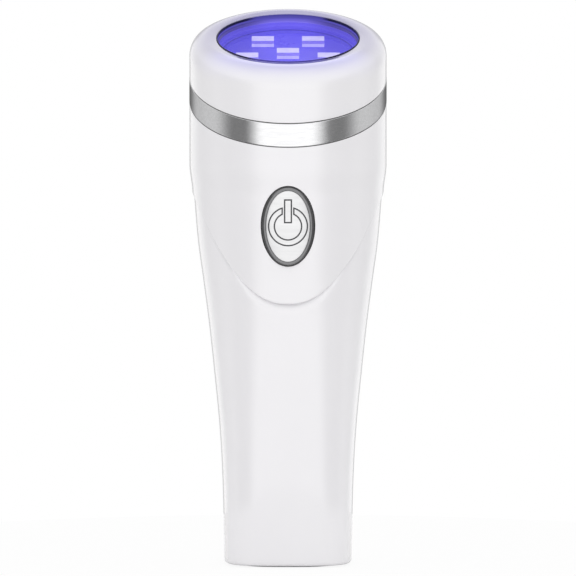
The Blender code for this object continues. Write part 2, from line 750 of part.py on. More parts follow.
def build_power_button():
    """Silver oval key with a gently crowned face."""
    half_w, half_h = button_half_sizes()
    rings = [oval(half_w, half_h, -BUTTON_DEPTH), oval(half_w, half_h, BUTTON_PROUD - BUTTON_DOME, 1.0)]
    for share in (0.94, 0.8, 0.55, 0.25):
        rise = BUTTON_DOME * math.sqrt(1.0 - share ** 2)
        rings.append(oval(half_w * share, half_h * share, BUTTON_PROUD - BUTTON_DOME + rise, 1.0))
    button = loft("power_button", rings, make_material("button silver", (0.8, 0.8, 0.82), 0.3, 0.7))
    button.data.transform(button_frame())
    return button


def build_button_pad():
    """Silicone pad on the back of the key, which brings it back out."""
    top = -BUTTON_DEPTH - BOARD_SEAT
    material = make_material("pad silicone", (0.6, 0.6, 0.62), 0.7)
    return ellipse_bar("button_pad", PAD_HALF_WIDTH, PAD_HALF_HEIGHT, top - PAD_THICK, top,
                       material, SMALL_RING_POINTS)


def plunger_top():
    return -BUTTON_DEPTH - PAD_THICK - 2.0 * BOARD_SEAT


def switch_top():
    return plunger_top() - BUTTON_TRAVEL - BOARD_SEAT


def build_switch_plunger():
    """Round stem of the switch, which travels with the key."""
    low = switch_top() - PLUNGER_HEIGHT
    material = make_material("plunger dark", (0.05, 0.05, 0.06), 0.5)
    return ellipse_bar("switch_plunger", PLUNGER_RADIUS, PLUNGER_RADIUS, low, plunger_top(),
                       material, SMALL_RING_POINTS)


def build_tact_switch():
    """Square switch body on the board, hollow where the stem goes in."""
    frame = button_frame()
    top = switch_top()
    body = box("tact_switch", (SWITCH_SIDE, SWITCH_SIDE, SWITCH_THICK), (0.0, 0.0, top - 0.5 * SWITCH_THICK),
               make_material("switch black", (0.08, 0.08, 0.09), 0.45), frame)
    floor = top - PLUNGER_HEIGHT - BUTTON_TRAVEL - CLEARANCE
    well = PLUNGER_RADIUS + CLEARANCE
    return cut(body, ellipse_bar("well", well, well, floor, top + OVERRUN, None, SMALL_RING_POINTS))


def build_control_board():
    top = switch_top() - SWITCH_THICK - BOARD_SEAT
    material = make_material("board green", (0.05, 0.22, 0.12), 0.45)
    return box("control_board", (PCB_WIDTH, PCB_HEIGHT, PCB_THICK), (0.0, 0.0, top - 0.5 * PCB_THICK),
               material, button_frame())


def tray_half_width():
    return FOOT_HALF_WIDTH - SHELL_WALL - CLEARANCE


def cell_places():
    """Side by side, each clear of the other by twice the thin seat gap."""
    reach = CELL_RADIUS + CLEARANCE
    return [-reach, reach]


def cell_depth():
    return TRAY_WALL - TRAY_BACK + CLEARANCE + CELL_RADIUS


def build_battery_tray():
    """Open-backed tray with two round-bottomed channels and closed ends."""
    half = tray_half_width()
    size = (2.0 * half, 2.0 * TRAY_BACK, TRAY_LENGTH)
    middle = TRAY_BASE_HEIGHT + 0.5 * TRAY_LENGTH
    tray = box("battery_tray", size, (0.0, 0.0, middle), make_material("tray white", (0.8, 0.8, 0.81), 0.45))
    bore = CELL_RADIUS + CLEARANCE - BOARD_SEAT
    low, high = TRAY_BASE_HEIGHT + TRAY_WALL, TRAY_BASE_HEIGHT + TRAY_LENGTH - TRAY_WALL
    for x in cell_places():
        place = Matrix.Translation((x, cell_depth(), 0.0))
        cut(tray, turned("channel", [(bore, low), (bore, high)], None, count=SMALL_RING_POINTS, place=place))
        back = cell_depth() + bore
        cut(tray, box("mouth", (2.0 * bore, back, high - low), (x, cell_depth() + 0.5 * back, middle), None))
    return tray


def cell_low():
    """Height of the flat end of a cell that stands on its spring."""
    spare = TRAY_LENGTH - 2.0 * TRAY_WALL - CELL_LENGTH - CELL_NUB_HEIGHT
    return TRAY_BASE_HEIGHT + TRAY_WALL + spare - CONTACT_THICK - 2.0 * BOARD_SEAT


def cell_matrix(index, x):
    """One cell stands nub up and its neighbour nub down."""
    place = Matrix.Translation((x, cell_depth(), cell_low()))
    if index % 2 == 0:
        return place
    middle = TRAY_BASE_HEIGHT + 0.5 * TRAY_LENGTH
    turn = Matrix.Translation((x, cell_depth(), middle)) @ Matrix.Rotation(math.pi, 4, "X")
    return turn @ Matrix.Translation((0.0, 0.0, cell_low() - middle))


def build_battery(index, x):
    shoulder = CELL_RADIUS - CLEARANCE
    profile = [(shoulder, 0.0), (CELL_RADIUS, CLEARANCE), (CELL_RADIUS, CELL_LENGTH - CLEARANCE),
               (shoulder, CELL_LENGTH), (CELL_NUB_RADIUS, CELL_LENGTH),
               (CELL_NUB_RADIUS, CELL_LENGTH + CELL_NUB_HEIGHT)]
    material = make_material(f"cell {index}", (0.25, 0.27, 0.3), 0.3, 0.4)
    return turned(f"battery_{index + 1}", profile, material, count=SMALL_RING_POINTS, place=cell_matrix(index, x))


def contact_height():
    """Contacts at each end of the tray: the lowest face of the upper and lower plate."""
    low = TRAY_BASE_HEIGHT + TRAY_WALL + BOARD_SEAT
    high = TRAY_BASE_HEIGHT + TRAY_LENGTH - TRAY_WALL - BOARD_SEAT - CONTACT_THICK
    return low, high


def build_contact_plates():
    """Four plates, one behind each end of each cell."""
    material = steel("contact nickel")
    index = 0
    for x in cell_places():
        for low in contact_height():
            index += 1
            box(f"contact_plate_{index}", (CONTACT_WIDTH, CONTACT_HEIGHT, CONTACT_THICK),
                (x, cell_depth(), low + 0.5 * CONTACT_THICK), material)


def build_contact_spring(index, x):
    """A short coil under the flat end of a cell."""
    length = cell_low() - contact_height()[0] - CONTACT_THICK - 2.0 * BOARD_SEAT
    rise = length - 2.0 * COIL_WIRE
    low = COIL_WIRE - length - BOARD_SEAT
    count = COIL_TURNS * COIL_POINTS
    rings = []
    for i in range(count + 1):
        turn = 2.0 * math.pi * i / COIL_POINTS
        out = Vector((math.cos(turn), math.sin(turn), 0.0))
        centre = out * COIL_RADIUS + Vector((0.0, 0.0, low + rise * i / count))
        rings.append([centre + out * (COIL_WIRE * math.cos(a)) + Vector((0.0, 0.0, COIL_WIRE * math.sin(a)))
                      for a in angles(COIL_SIDES)])
    coil = loft(f"contact_spring_{index + 1}", rings, steel(f"spring steel {index + 1}"))
    coil.data.transform(cell_matrix(index, x))
    return coil


def build_battery_door():
    """Back cover with the handle's own curve, and grip ridges near its top."""
    door = handle_tube("battery_door", DOOR_WALL, white_gloss("door white"))
    high = DOOR_BOTTOM + DOOR_LENGTH
    apply_boolean(door, door_prism(DOOR_HALF_WIDTH, DOOR_BOTTOM, high, DOOR_CORNER), "INTERSECT")
    for i in range(GRIP_COUNT):
        z = high - GRIP_DROP - GRIP_PITCH * i
        groove = back_surface_at(0.0, z) - GRIP_DEPTH
        size = (2.0 * GRIP_HALF_WIDTH, OVERRUN, GRIP_HEIGHT)
        cut(door, box("groove", size, (0.0, groove + 0.5 * OVERRUN, z), None))
    return door


def foot_ring(share, inset, height):
    return [section_point(tuple(v * share if i < 2 else v for i, v in enumerate(handle_section(0.0))),
                          a, height, inset) for a in angles(RING_POINTS)]


def build_foot_cap():
    """Plate that closes the handle from below, inside both shells."""
    inset = SHELL_WALL + CLEARANCE
    rings = [foot_ring(1.0, inset, SHELL_BOTTOM), foot_ring(1.0, inset, SHELL_BOTTOM + CAP_THICK)]
    return loft("foot_cap", rings, white_gloss("foot white"))


def build_foot_pad():
    """Thin soft pad that the device stands on."""
    material = make_material("pad grey", (0.6, 0.6, 0.62), 0.8)
    high = SHELL_BOTTOM - BOARD_SEAT
    return loft("foot_pad", [foot_ring(PAD_SHARE, 0.0, 0.0), foot_ring(PAD_SHARE, 0.0, high)], material)


def build_housing_with_button_hole():
    housing = build_upper_housing()
    hole = ellipse_bar("hole", BEZEL_HALF_WIDTH + BEZEL_FIT, BEZEL_HALF_HEIGHT + BEZEL_FIT,
                       -BEZEL_DEPTH - OVERRUN, OVERRUN, None)
    return cut(housing, hole)


def main():
    clear_scene()
    build_head_bezel()
    build_lens_gasket()
    build_lens()
    build_reflector_cup()
    build_led_board()
    for index, (x, y) in enumerate(led_places()):
        build_led(index + 1, x, y)
    build_heat_sink()
    build_chrome_ring()
    build_housing_with_button_hole()
    build_handle_front_shell()
    build_handle_rear_shell()
    build_neck_liner()
    for index, (x, z) in enumerate(screw_places()):
        build_shell_screw(index, x, z)
    build_button_bezel()
    build_power_button()
    build_button_pad()
    build_switch_plunger()
    build_tact_switch()
    build_control_board()
    build_battery_tray()
    for index, x in enumerate(cell_places()):
        build_battery(index, x)
        build_contact_spring(index, x)
    build_contact_plates()
    build_battery_door()
    build_foot_cap()
    build_foot_pad()


main()
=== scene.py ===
"""Dressed model of a handheld acne light therapy device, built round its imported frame."""
import logging
import math
from dataclasses import dataclass, field
from enum import Enum
from typing import Iterable, Sequence

import bmesh
import bpy
from mathutils import Matrix, Vector


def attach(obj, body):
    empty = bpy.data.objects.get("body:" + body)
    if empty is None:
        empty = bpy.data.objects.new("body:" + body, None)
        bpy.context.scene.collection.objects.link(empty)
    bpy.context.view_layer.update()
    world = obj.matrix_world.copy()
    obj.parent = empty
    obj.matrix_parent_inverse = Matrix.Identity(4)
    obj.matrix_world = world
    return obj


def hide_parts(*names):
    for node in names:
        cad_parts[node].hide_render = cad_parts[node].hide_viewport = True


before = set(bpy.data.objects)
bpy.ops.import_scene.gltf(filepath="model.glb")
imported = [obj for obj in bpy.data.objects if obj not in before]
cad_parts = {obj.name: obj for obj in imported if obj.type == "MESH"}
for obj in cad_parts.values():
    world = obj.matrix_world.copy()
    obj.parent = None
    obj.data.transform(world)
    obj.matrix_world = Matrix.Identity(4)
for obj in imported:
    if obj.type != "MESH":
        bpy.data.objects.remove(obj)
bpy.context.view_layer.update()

MM = 0.001
LOG = logging.getLogger("light_device")

Ring = list[Vector]
Colour = tuple[float, float, float]
Span = tuple[float, float]

SHARP_ANGLE = 32.0          # degrees past which a machined edge stays sharp
MOULDED_ANGLE = 50.0        # the same for pieces whose rounds have few steps
BEVEL_STEPS = 3             # steps of a rounded edge
ROUND_POINTS = 160          # points round a turned piece
GROOVE_POINTS = 32          # points round a grip groove
HEAD_POINTS = 192           # points round the head
NOISE_SPREAD = (0.35, 0.65)     # where a noise's value mostly lies
CLOUD_SPREAD = (0.3, 0.7)       # the same for the slow clouds of a moulded skin


class Body(Enum):
    """The rigid bodies that pieces ride on."""

    HOUSING = "housing"
    BUTTON = "button"
    DOOR = "door"


class Slot(Enum):
    """The record's material slots."""

    WHITE = "white_plastic"
    SEAL = "black_seal"
    WINDOW = "clear_lens"
    CUP = "reflector"
    BOARD = "board_white"
    EMITTER = "led"
    BAND = "ring_chrome"
    STEEL = "steel"
    RIM = "bezel_chrome"
    KEY = "button_silver"
    SILICONE = "grey_silicone"
    CELL = "cell_jacket"


# Shader nodes


def feed(tree: bpy.types.NodeTree, socket: bpy.types.NodeSocket, value: object) -> None:
    """Link an input to another socket, or set it to a plain value.

    Args:
        tree: The tree that holds the input.
        socket: The input.
        value: A socket, a number, a vector or a colour.
    """
    if isinstance(value, bpy.types.NodeSocket):
        tree.links.new(value, socket)
    elif socket.type == "RGBA":
        socket.default_value = (*value, 1.0)
    else:
        socket.default_value = value


def wire(tree: bpy.types.NodeTree, node: bpy.types.Node, **values: object) -> None:
    """Feed a node's inputs by name.

    Args:
        tree: The tree that holds the node.
        node: The node.
        values: What each input gets, with underscores for the spaces in its name.
    """
    for label, value in values.items():
        feed(tree, node.inputs[label.replace("_", " ")], value)


def add_node(tree: bpy.types.NodeTree, kind: str, **values: object) -> bpy.types.Node:
    """Add a node and feed its inputs by name.

    Args:
        tree: The tree that it goes into.
        kind: The node's type.
        values: What each input gets, with underscores for the spaces in its name.

    Returns:
        The new node.
    """
    node = tree.nodes.new(kind)
    wire(tree, node, **values)
    return node


def add_math(tree: bpy.types.NodeTree, operation: str, first: object,
             second: object = 0.0) -> bpy.types.NodeSocket:
    """Add a Math node.

    Args:
        tree: The tree that it goes into.
        operation: What it works out.
        first: Its first input, a socket or a number.
        second: Its second input, which some operations don't use.

    Returns:
        Its output.
    """
    node = tree.nodes.new("ShaderNodeMath")
    node.operation = operation
    feed(tree, node.inputs[0], first)
    feed(tree, node.inputs[1], second)
    return node.outputs[0]


def add_noise(tree: bpy.types.NodeTree, vector: bpy.types.NodeSocket, scale: bpy.types.NodeSocket,
              detail: float, roughness: float = 0.5) -> bpy.types.NodeSocket:
    """Add a noise.

    Args:
        tree: The tree that it goes into.
        vector: Its coordinates.
        scale: Its scale.
        detail: How many finer layers it has.
        roughness: The share of each finer layer.

    Returns:
        Its value.
    """
    noise = add_node(tree, "ShaderNodeTexNoise", Vector=vector, Scale=scale, Detail=detail,
                     Roughness=roughness)
    return noise.outputs["Fac"]


def add_span(tree: bpy.types.NodeTree, value: bpy.types.NodeSocket, low: float, high: float,
             start: object = 0.0, end: object = 1.0, smooth: bool = True) -> bpy.types.NodeSocket:
    """Map one range of a value onto another, clamped at both ends.

    Args:
        tree: The tree that it goes into.
        value: The value.
        low: Where its range starts.
        high: Where its range ends.
        start: What the low end becomes, a number or a socket.
        end: What the high end becomes, a number or a socket.
        smooth: Whether it runs as an S curve.

    Returns:
        The mapped value.
    """
    node = add_node(tree, "ShaderNodeMapRange", Value=value, From_Min=low, From_Max=high,
                    To_Min=start, To_Max=end)
    node.interpolation_type = "SMOOTHSTEP" if smooth else "LINEAR"
    return node.outputs["Result"]


def add_ramp(tree: bpy.types.NodeTree, value: bpy.types.NodeSocket, stops: Iterable[tuple[float, Colour]],
             blend: str = "LINEAR") -> bpy.types.NodeSocket:
    """Turn a value from 0 to 1 into colours.

    Args:
        tree: The tree that it goes into.
        value: The value.
        stops: Places from 0 to 1 with their colours.
        blend: How it runs from one stop to the next.

    Returns:
        The colour.
    """
    stops = list(stops)
    node = add_node(tree, "ShaderNodeValToRGB", Fac=value)
    node.color_ramp.interpolation = blend
    elements = node.color_ramp.elements
    while len(elements) < len(stops):
        elements.new(0.5)
    for element, (place, colour) in zip(elements, stops):
        element.position = place
        element.color = (*colour, 1.0)
    return node.outputs["Color"]


def add_mix(tree: bpy.types.NodeTree, share: bpy.types.NodeSocket, first: object,
            second: object) -> bpy.types.NodeSocket:
    """Mix two colours.

    Args:
        tree: The tree that it goes into.
        share: The second colour's share.
        first: The first colour, a socket or a plain colour.
        second: The second colour, a socket or a plain colour.

    Returns:
        The mixed colour.
    """
    node = tree.nodes.new("ShaderNodeMix")
    node.data_type = "RGBA"
    feed(tree, node.inputs["Factor"], share)
    feed(tree, node.inputs[6], first)
    feed(tree, node.inputs[7], second)
    return node.outputs[2]


def add_group(name: str, inputs: dict[str, float],
              outputs: Sequence[str]) -> tuple[bpy.types.NodeTree, bpy.types.Node, bpy.types.Node]:
    """Start a shader node group with number inputs and number outputs.

    Args:
        name: The group's name.
        inputs: Each input's name with its default.
        outputs: The names of the outputs.

    Returns:
        The group, its input node and its output node.
    """
    group = bpy.data.node_groups.new(name, "ShaderNodeTree")
    group.interface.new_socket("Vector", in_out="INPUT", socket_type="NodeSocketVector")
    for label, default in inputs.items():
        socket = group.interface.new_socket(label, in_out="INPUT", socket_type="NodeSocketFloat")
        socket.default_value = default
    for label in outputs:
        group.interface.new_socket(label, in_out="OUTPUT", socket_type="NodeSocketFloat")
    return group, group.nodes.new("NodeGroupInput"), group.nodes.new("NodeGroupOutput")


def moulded_skin_group() -> bpy.types.NodeTree:
    """Fine orange peel and slow waviness of a moulded gloss surface.

    Returns:
        A group that gives a Height for bump and a Cloud mask from 0 to 1.
    """
    inputs = {"Peel Scale": 900.0, "Wave Scale": 60.0, "Wave Share": 0.5}
    group, source, result = add_group("moulded_skin", inputs, ["Height", "Cloud"])
    vector = source.outputs["Vector"]
    peel = add_noise(group, vector, source.outputs["Peel Scale"], 2.0)
    cloud = add_noise(group, vector, source.outputs["Wave Scale"], 2.0)
    wave = add_math(group, "MULTIPLY", cloud, source.outputs["Wave Share"])
    wire(group, result, Height=add_math(group, "ADD", peel, wave), Cloud=cloud)
    return group


def handling_marks_group() -> bpy.types.NodeTree:
    """Faint smudges and specks that dull a gloss here and there.

    Returns:
        A group that gives a Roughness between its Low and High inputs.
    """
    inputs = {"Scale": 40.0, "Low": 0.1, "High": 0.2}
    group, source, result = add_group("handling_marks", inputs, ["Roughness"])
    smudges = add_noise(group, source.outputs["Vector"], source.outputs["Scale"], 6.0, 0.6)
    low, high = source.outputs["Low"], source.outputs["High"]
    wire(group, result, Roughness=add_span(group, smudges, *NOISE_SPREAD, low, high, smooth=False))
    return group


def brushed_group() -> bpy.types.NodeTree:
    """Fine lines drawn along X, as brushing or turning leaves them.

    Returns:
        A group that gives a Height and a Line mask.
    """
    inputs = {"Scale": 3000.0, "Stretch": 0.03}
    group, source, result = add_group("brushed_lines", inputs, ["Height", "Line"])
    parts = add_node(group, "ShaderNodeSeparateXYZ", Vector=source.outputs["Vector"])
    x, y, z = parts.outputs
    stretched = add_math(group, "MULTIPLY", x, source.outputs["Stretch"])
    joined = add_node(group, "ShaderNodeCombineXYZ", X=stretched, Y=y, Z=z)
    line = add_noise(group, joined.outputs[0], source.outputs["Scale"], 3.0)
    wire(group, result, Height=line, Line=line)
    return group


GROUP_MAKERS = {"skin": moulded_skin_group, "marks": handling_marks_group, "brushed": brushed_group}
GROUPS: dict[str, bpy.types.NodeTree] = {}


def shared_group(name: str) -> bpy.types.NodeTree:
    """Return one of the shared node groups, made on first use.

    Args:
        name: Its name among the makers.

    Returns:
        The group.
    """
    if name not in GROUPS:
        GROUPS[name] = GROUP_MAKERS[name]()
    return GROUPS[name]


def dimmed(colour: Colour, share: float) -> Colour:
    """A share of a colour."""
    return tuple(share * part for part in colour)


# Finishes


class Shade:
    """A material under construction: its tree, its shader and its Object coordinates."""

    def __init__(self, name: str) -> None:
        """Start a node material with one Principled shader.

        Args:
            name: The material's name.
        """
        self.material = bpy.data.materials.new(name)
        self.material.use_nodes = True
        self.tree = self.material.node_tree
        self.shader = self.tree.nodes["Principled BSDF"]
        self.place = add_node(self.tree, "ShaderNodeTexCoord").outputs["Object"]

    def set(self, **values: object) -> "Shade":
        """Feed the shader's inputs by name and return the same material under construction."""
        wire(self.tree, self.shader, **values)
        return self

    def group(self, name: str, **values: float) -> bpy.types.Node:
        """Place a shared group on Object coordinates.

        Args:
            name: The group's name among the makers.
            values: Its own values, with underscores for the spaces in their names.

        Returns:
            The group's node.
        """
        node = self.tree.nodes.new("ShaderNodeGroup")
        node.node_tree = shared_group(name)
        wire(self.tree, node, Vector=self.place, **values)
        return node

    def smudges(self, scale: float, low: float, high: float) -> bpy.types.NodeSocket:
        """Vary the shader's roughness by handling marks.

        Args:
            scale: The scale of the marks.
            low: The least roughness.
            high: The greatest roughness.

        Returns:
            The roughness.
        """
        marks = self.group("marks", Scale=scale, Low=low, High=high)
        self.set(Roughness=marks.outputs["Roughness"])
        return marks.outputs["Roughness"]

    def bump(self, height: bpy.types.NodeSocket, strength: float, distance: float) -> None:
        """Bump the shader's surface by a height."""
        node = add_node(self.tree, "ShaderNodeBump", Strength=strength, Distance=distance, Height=height)
        self.set(Normal=node.outputs["Normal"])

    def on_head_axis(self, height: float, tilt: float) -> tuple[bpy.types.NodeSocket, ...]:
        """Coordinates measured from the middle of the opening along the head's axis.

        Args:
            height: The height of the middle of the opening.
            tilt: The axis's lean.

        Returns:
            The X, Y and Z sockets.
        """
        turned = self.tree.nodes.new("ShaderNodeMapping")
        turned.vector_type = "TEXTURE"
        wire(self.tree, turned, Vector=self.place, Location=(0.0, 0.0, height), Rotation=(tilt, 0.0, 0.0))
        return tuple(add_node(self.tree, "ShaderNodeSeparateXYZ", Vector=turned.outputs["Vector"]).outputs)


@dataclass(frozen=True)
class GlossPlastic:
    """Glossy moulded plastic, white with a faint cool cast unless told otherwise."""

    name: str
    colour: Colour = (0.882, 0.871, 0.892)
    shade_colour: Colour = (0.87, 0.859, 0.881)
    roughness: Span = (0.1, 0.17)
    # The glow fields paint the LEDs' lavender light into the colour round the opening: painted light, not the
    # plastic's own tint.
    glow_height: float = 0.0
    glow_tilt: float = 0.0
    glow_start: float = 18.2 * MM
    glow_end: float = 25.0 * MM
    glow_depth: float = 5.4 * MM
    glow_fade: float = 3.0 * MM
    side_reach: Span = (-17.0 * MM, -8.0 * MM)
    far_reach: Span = (4.0 * MM, 16.0 * MM)
    far_glow: Colour = (0.49, 0.47, 0.66)
    side_glow: Colour = (0.41, 0.39, 0.55)
    near_glow: Colour = (0.55, 0.53, 0.95)
    marks_scale: float = 55.0
    bump: float = 0.03
    bump_depth: float = 0.02 * MM
    coat_roughness: float = 0.04

    def build(self) -> bpy.types.Material:
        """Make the material, with the LEDs' lavender glow painted round the opening where a glow height is
        set.

        Returns:
            The material.
        """
        shade = Shade(self.name)
        skin = shade.group("skin")
        shade.smudges(self.marks_scale, *self.roughness)
        shade.bump(skin.outputs["Height"], self.bump, self.bump_depth)
        stops = zip(CLOUD_SPREAD, (self.shade_colour, self.colour))
        colour = add_ramp(shade.tree, skin.outputs["Cloud"], stops)
        if self.glow_height > 0.0:
            colour = self.add_painted_glow(shade, colour)
        return shade.set(Base_Color=colour, Coat_Weight=1.0, Coat_Roughness=self.coat_roughness).material

    def add_painted_glow(self, shade: Shade, plain: bpy.types.NodeSocket) -> bpy.types.NodeSocket:
        """Paint the LEDs' lavender glow onto the rim round the opening, deeper on its near side.

        Args:
            shade: The material under construction.
            plain: The plastic's own colour.

        Returns:
            The colour with the painted glow.
        """
        tree = shade.tree
        x, y, z = shade.on_head_axis(self.glow_height, self.glow_tilt)
        squares = [add_math(tree, "MULTIPLY", part, part) for part in (x, y)]
        radius = add_math(tree, "SQRT", add_math(tree, "ADD", *squares))
        around = add_span(tree, radius, self.glow_start, self.glow_end, 1.0, 0.0)
        high = add_span(tree, z, -self.glow_depth, self.glow_fade - self.glow_depth)
        near_to_side = add_mix(tree, add_span(tree, y, *self.side_reach), self.near_glow, self.side_glow)
        glow_colour = add_mix(tree, add_span(tree, y, *self.far_reach), near_to_side, self.far_glow)
        return add_mix(tree, add_math(tree, "MULTIPLY", around, high), plain, glow_colour)


@dataclass(frozen=True)
class PolishedMetal:
    """Plated metal, bright or dark, with fine turning lines."""

    name: str
    colour: Colour = (0.78, 0.78, 0.79)
    roughness: Span = (0.1, 0.18)
    line_scale: float = 2500.0
    line_shade: float = 0.93
    edge_shade: float = 1.0
    edge_tint: float = 1.0
    edge_reach: Span = (0.5, 0.85)
    marks_scale: float = 80.0
    bump: float = 0.04
    bump_depth: float = 0.01 * MM

    def build(self) -> bpy.types.Material:
        """Make the material; edge_shade paints shade into its colour where it turns away from the eye.

        Returns:
            The material.
        """
        shade = Shade(self.name)
        tree = shade.tree
        lines = shade.group("brushed", Scale=self.line_scale)
        shade.smudges(self.marks_scale, *self.roughness)
        shade.bump(lines.outputs["Height"], self.bump, self.bump_depth)
        stops = zip(NOISE_SPREAD, (dimmed(self.colour, self.line_shade), self.colour))
        colour = add_ramp(tree, lines.outputs["Line"], stops)
        if self.edge_shade < 1.0:
            facing = add_node(tree, "ShaderNodeLayerWeight").outputs["Facing"]
            scale = tree.nodes.new("ShaderNodeVectorMath")
            scale.operation = "SCALE"
            dim = add_span(tree, facing, *self.edge_reach, 1.0, self.edge_shade)
            wire(tree, scale, Vector=colour, Scale=dim)
            colour = scale.outputs[0]
        return shade.set(Base_Color=colour, Metallic=1.0, Specular_Tint=(self.edge_tint,) * 3).material


@dataclass(frozen=True)
class SoftMatt:
    """Soft or matt material: silicone, seal, inner mouldings and boards."""

    name: str
    colour: Colour
    roughness: float = 0.6
    spread: float = 0.08
    grain: float = 1500.0
    wave: float = 120.0
    marks_scale: float = 120.0
    bump: float = 0.15
    bump_depth: float = 0.03 * MM

    def build(self) -> bpy.types.Material:
        """Make the material with its fine grain.

        Returns:
            The material.
        """
        shade = Shade(self.name)
        skin = shade.group("skin", Peel_Scale=self.grain, Wave_Scale=self.wave)
        shade.smudges(self.marks_scale, self.roughness - self.spread, self.roughness + self.spread)
        shade.bump(skin.outputs["Height"], self.bump, self.bump_depth)
        stops = zip(CLOUD_SPREAD, (dimmed(self.colour, 1.0 - self.spread), self.colour))
        return shade.set(Base_Color=add_ramp(shade.tree, skin.outputs["Cloud"], stops)).material


@dataclass(frozen=True)
class WindowClear:
    """Clear window with a faint violet cast."""

    name: str
    colour: Colour = (0.93, 0.93, 1.0)
    bend: float = 1.05
    roughness: Span = (0.0, 0.03)
    marks_scale: float = 90.0

    def build(self) -> bpy.types.Material:
        """Make the material.

        Returns:
            The material.
        """
        shade = Shade(self.name)
        shade.smudges(self.marks_scale, *self.roughness)
        return shade.set(Base_Color=self.colour, Transmission_Weight=1.0, IOR=self.bend).material


@dataclass(frozen=True)
class PaintedWellGlow:
    """Wall or floor of the well, with the LEDs' blue violet light painted on as a glow that changes with
    depth.
    """

    name: str
    steps: tuple[tuple[float, Colour], ...]
    colour: Colour = (0.05, 0.042, 0.22)
    low_depth: float = 4.3 * MM
    high_depth: float = 1.0 * MM
    glow_height: float = 0.0
    glow_tilt: float = 0.0
    gloss: float = 0.15
    roughness: Span = (0.25, 0.45)
    marks_scale: float = 120.0
    mottle: float = 0.9
    # The painted glow is middle_light strong in the middle and dims to side_light at the sides above
    # fade_depth: painted shade.
    middle_light: float = 0.94
    side_light: float = 0.76
    fade_start: float = 3.0 * MM
    fade_end: float = 11.0 * MM
    fade_depth: float = 100.0 * MM
    fade_edge: float = 0.05 * MM

    def build(self) -> bpy.types.Material:
        """Make the material: its painted glow follows the steps of depth and colour and dims to the sides as
        painted shade.

        Returns:
            The material.
        """
        shade = Shade(self.name)
        tree = shade.tree
        smudges = shade.smudges(self.marks_scale, *self.roughness)
        stops = zip(self.roughness, (dimmed(self.colour, self.mottle), self.colour))
        plain = add_ramp(tree, smudges, stops)
        x, _, z = shade.on_head_axis(self.glow_height, self.glow_tilt)
        depth = add_span(tree, z, -self.low_depth, -self.high_depth, smooth=False)
        reach = self.low_depth - self.high_depth
        stops = [((self.low_depth - place) / reach, colour) for place, colour in self.steps]
        side = add_span(tree, add_math(tree, "ABSOLUTE", x), self.fade_start, self.fade_end)
        high = add_span(tree, z, -self.fade_depth - self.fade_edge, -self.fade_depth)
        dim = add_math(tree, "MULTIPLY", side, high)
        light = add_span(tree, dim, 0.0, 1.0, self.middle_light, self.side_light, False)
        return shade.set(Base_Color=plain, Emission_Color=add_ramp(tree, depth, stops),
                         Emission_Strength=light, Specular_IOR_Level=self.gloss).material


@dataclass(frozen=True)
class Emitter:
    """Lit face of a light source, finely mottled."""

    name: str
    colour: Colour = (0.75, 0.72, 1.0)
    strength: float = 1.2
    unlit_share: float = 0.2
    mottle: float = 0.85
    grain: float = 2200.0
    wave: float = 500.0
    roughness: float = 0.35
    bump: float = 0.1
    bump_depth: float = 0.02 * MM

    def build(self) -> bpy.types.Material:
        """Make the material with its mottled glow.

        Returns:
            The material.
        """
        shade = Shade(self.name)
        skin = shade.group("skin", Peel_Scale=self.grain, Wave_Scale=self.wave)
        shade.bump(skin.outputs["Height"], self.bump, self.bump_depth)
        stops = zip(NOISE_SPREAD, (dimmed(self.colour, self.mottle), self.colour))
        glow = add_ramp(shade.tree, skin.outputs["Cloud"], stops)
        return shade.set(Base_Color=dimmed(self.colour, self.unlit_share), Emission_Color=glow,
                         Emission_Strength=self.strength, Roughness=self.roughness).material


Finish = GlossPlastic | PolishedMetal | SoftMatt | WindowClear | PaintedWellGlow | Emitter

# Mesh making


def turns(count: int) -> list[float]:
    """Equal angles round a full circle."""
    return [2.0 * math.pi * i / count for i in range(count)]


def in_scene(name: str, data: object) -> bpy.types.Object:
    """Make an object of its data and link it to the scene.

    Args:
        name: The object's name.
        data: Its mesh, camera or lamp data.

    Returns:
        The new object.
    """
    item = bpy.data.objects.new(name, data)
    bpy.context.scene.collection.objects.link(item)
    return item


def make_piece(name: str, points: Sequence[Vector], faces: Sequence[tuple],
               sharp: float = SHARP_ANGLE) -> bpy.types.Object:
    """Make one mesh object at the origin, smooth apart from its sharp edges.

    Args:
        name: The piece's name.
        points: Its points, in metres.
        faces: Its faces, as point indices.
        sharp: The angle in degrees past which an edge stays sharp.

    Returns:
        The new object, linked to the scene.
    """
    mesh = bpy.data.meshes.new(name)
    mesh.from_pydata([tuple(p) for p in points], [], faces)
    work = bmesh.new()
    work.from_mesh(mesh)
    bmesh.ops.recalc_face_normals(work, faces=work.faces)
    work.to_mesh(mesh)
    work.free()
    mesh.shade_smooth()
    mesh.set_sharp_from_angle(angle=math.radians(sharp))
    return in_scene(name, mesh)


def skin_rings(name: str, rings: Sequence[Ring], loop: bool = False,
               sharp: float = SHARP_ANGLE) -> bpy.types.Object:
    """Skin closed rings in order, capped at the ends or joined end to start.

    Args:
        name: The piece's name.
        rings: Rings of equal point counts.
        loop: Whether the last ring joins the first, for a hollow body.
        sharp: The angle in degrees past which an edge stays sharp.

    Returns:
        The new object.
    """
    count = len(rings[0])
    faces = []
    pairs = [(i, i + 1) for i in range(len(rings) - 1)] + ([(len(rings) - 1, 0)] if loop else [])
    for low, high in pairs:
        for i in range(count):
            j = (i + 1) % count
            faces.append((low * count + i, low * count + j, high * count + j, high * count + i))
    if not loop:
        faces.append(tuple(range(count)))
        faces.append(tuple(range((len(rings) - 1) * count, len(rings) * count)))
    return make_piece(name, [p for ring in rings for p in ring], faces, sharp)


def flat_circle(radius: float, height: float, count: int = ROUND_POINTS) -> Ring:
    """A level ring of points about the Z axis."""
    return [Vector((radius * math.cos(a), radius * math.sin(a), height)) for a in turns(count)]


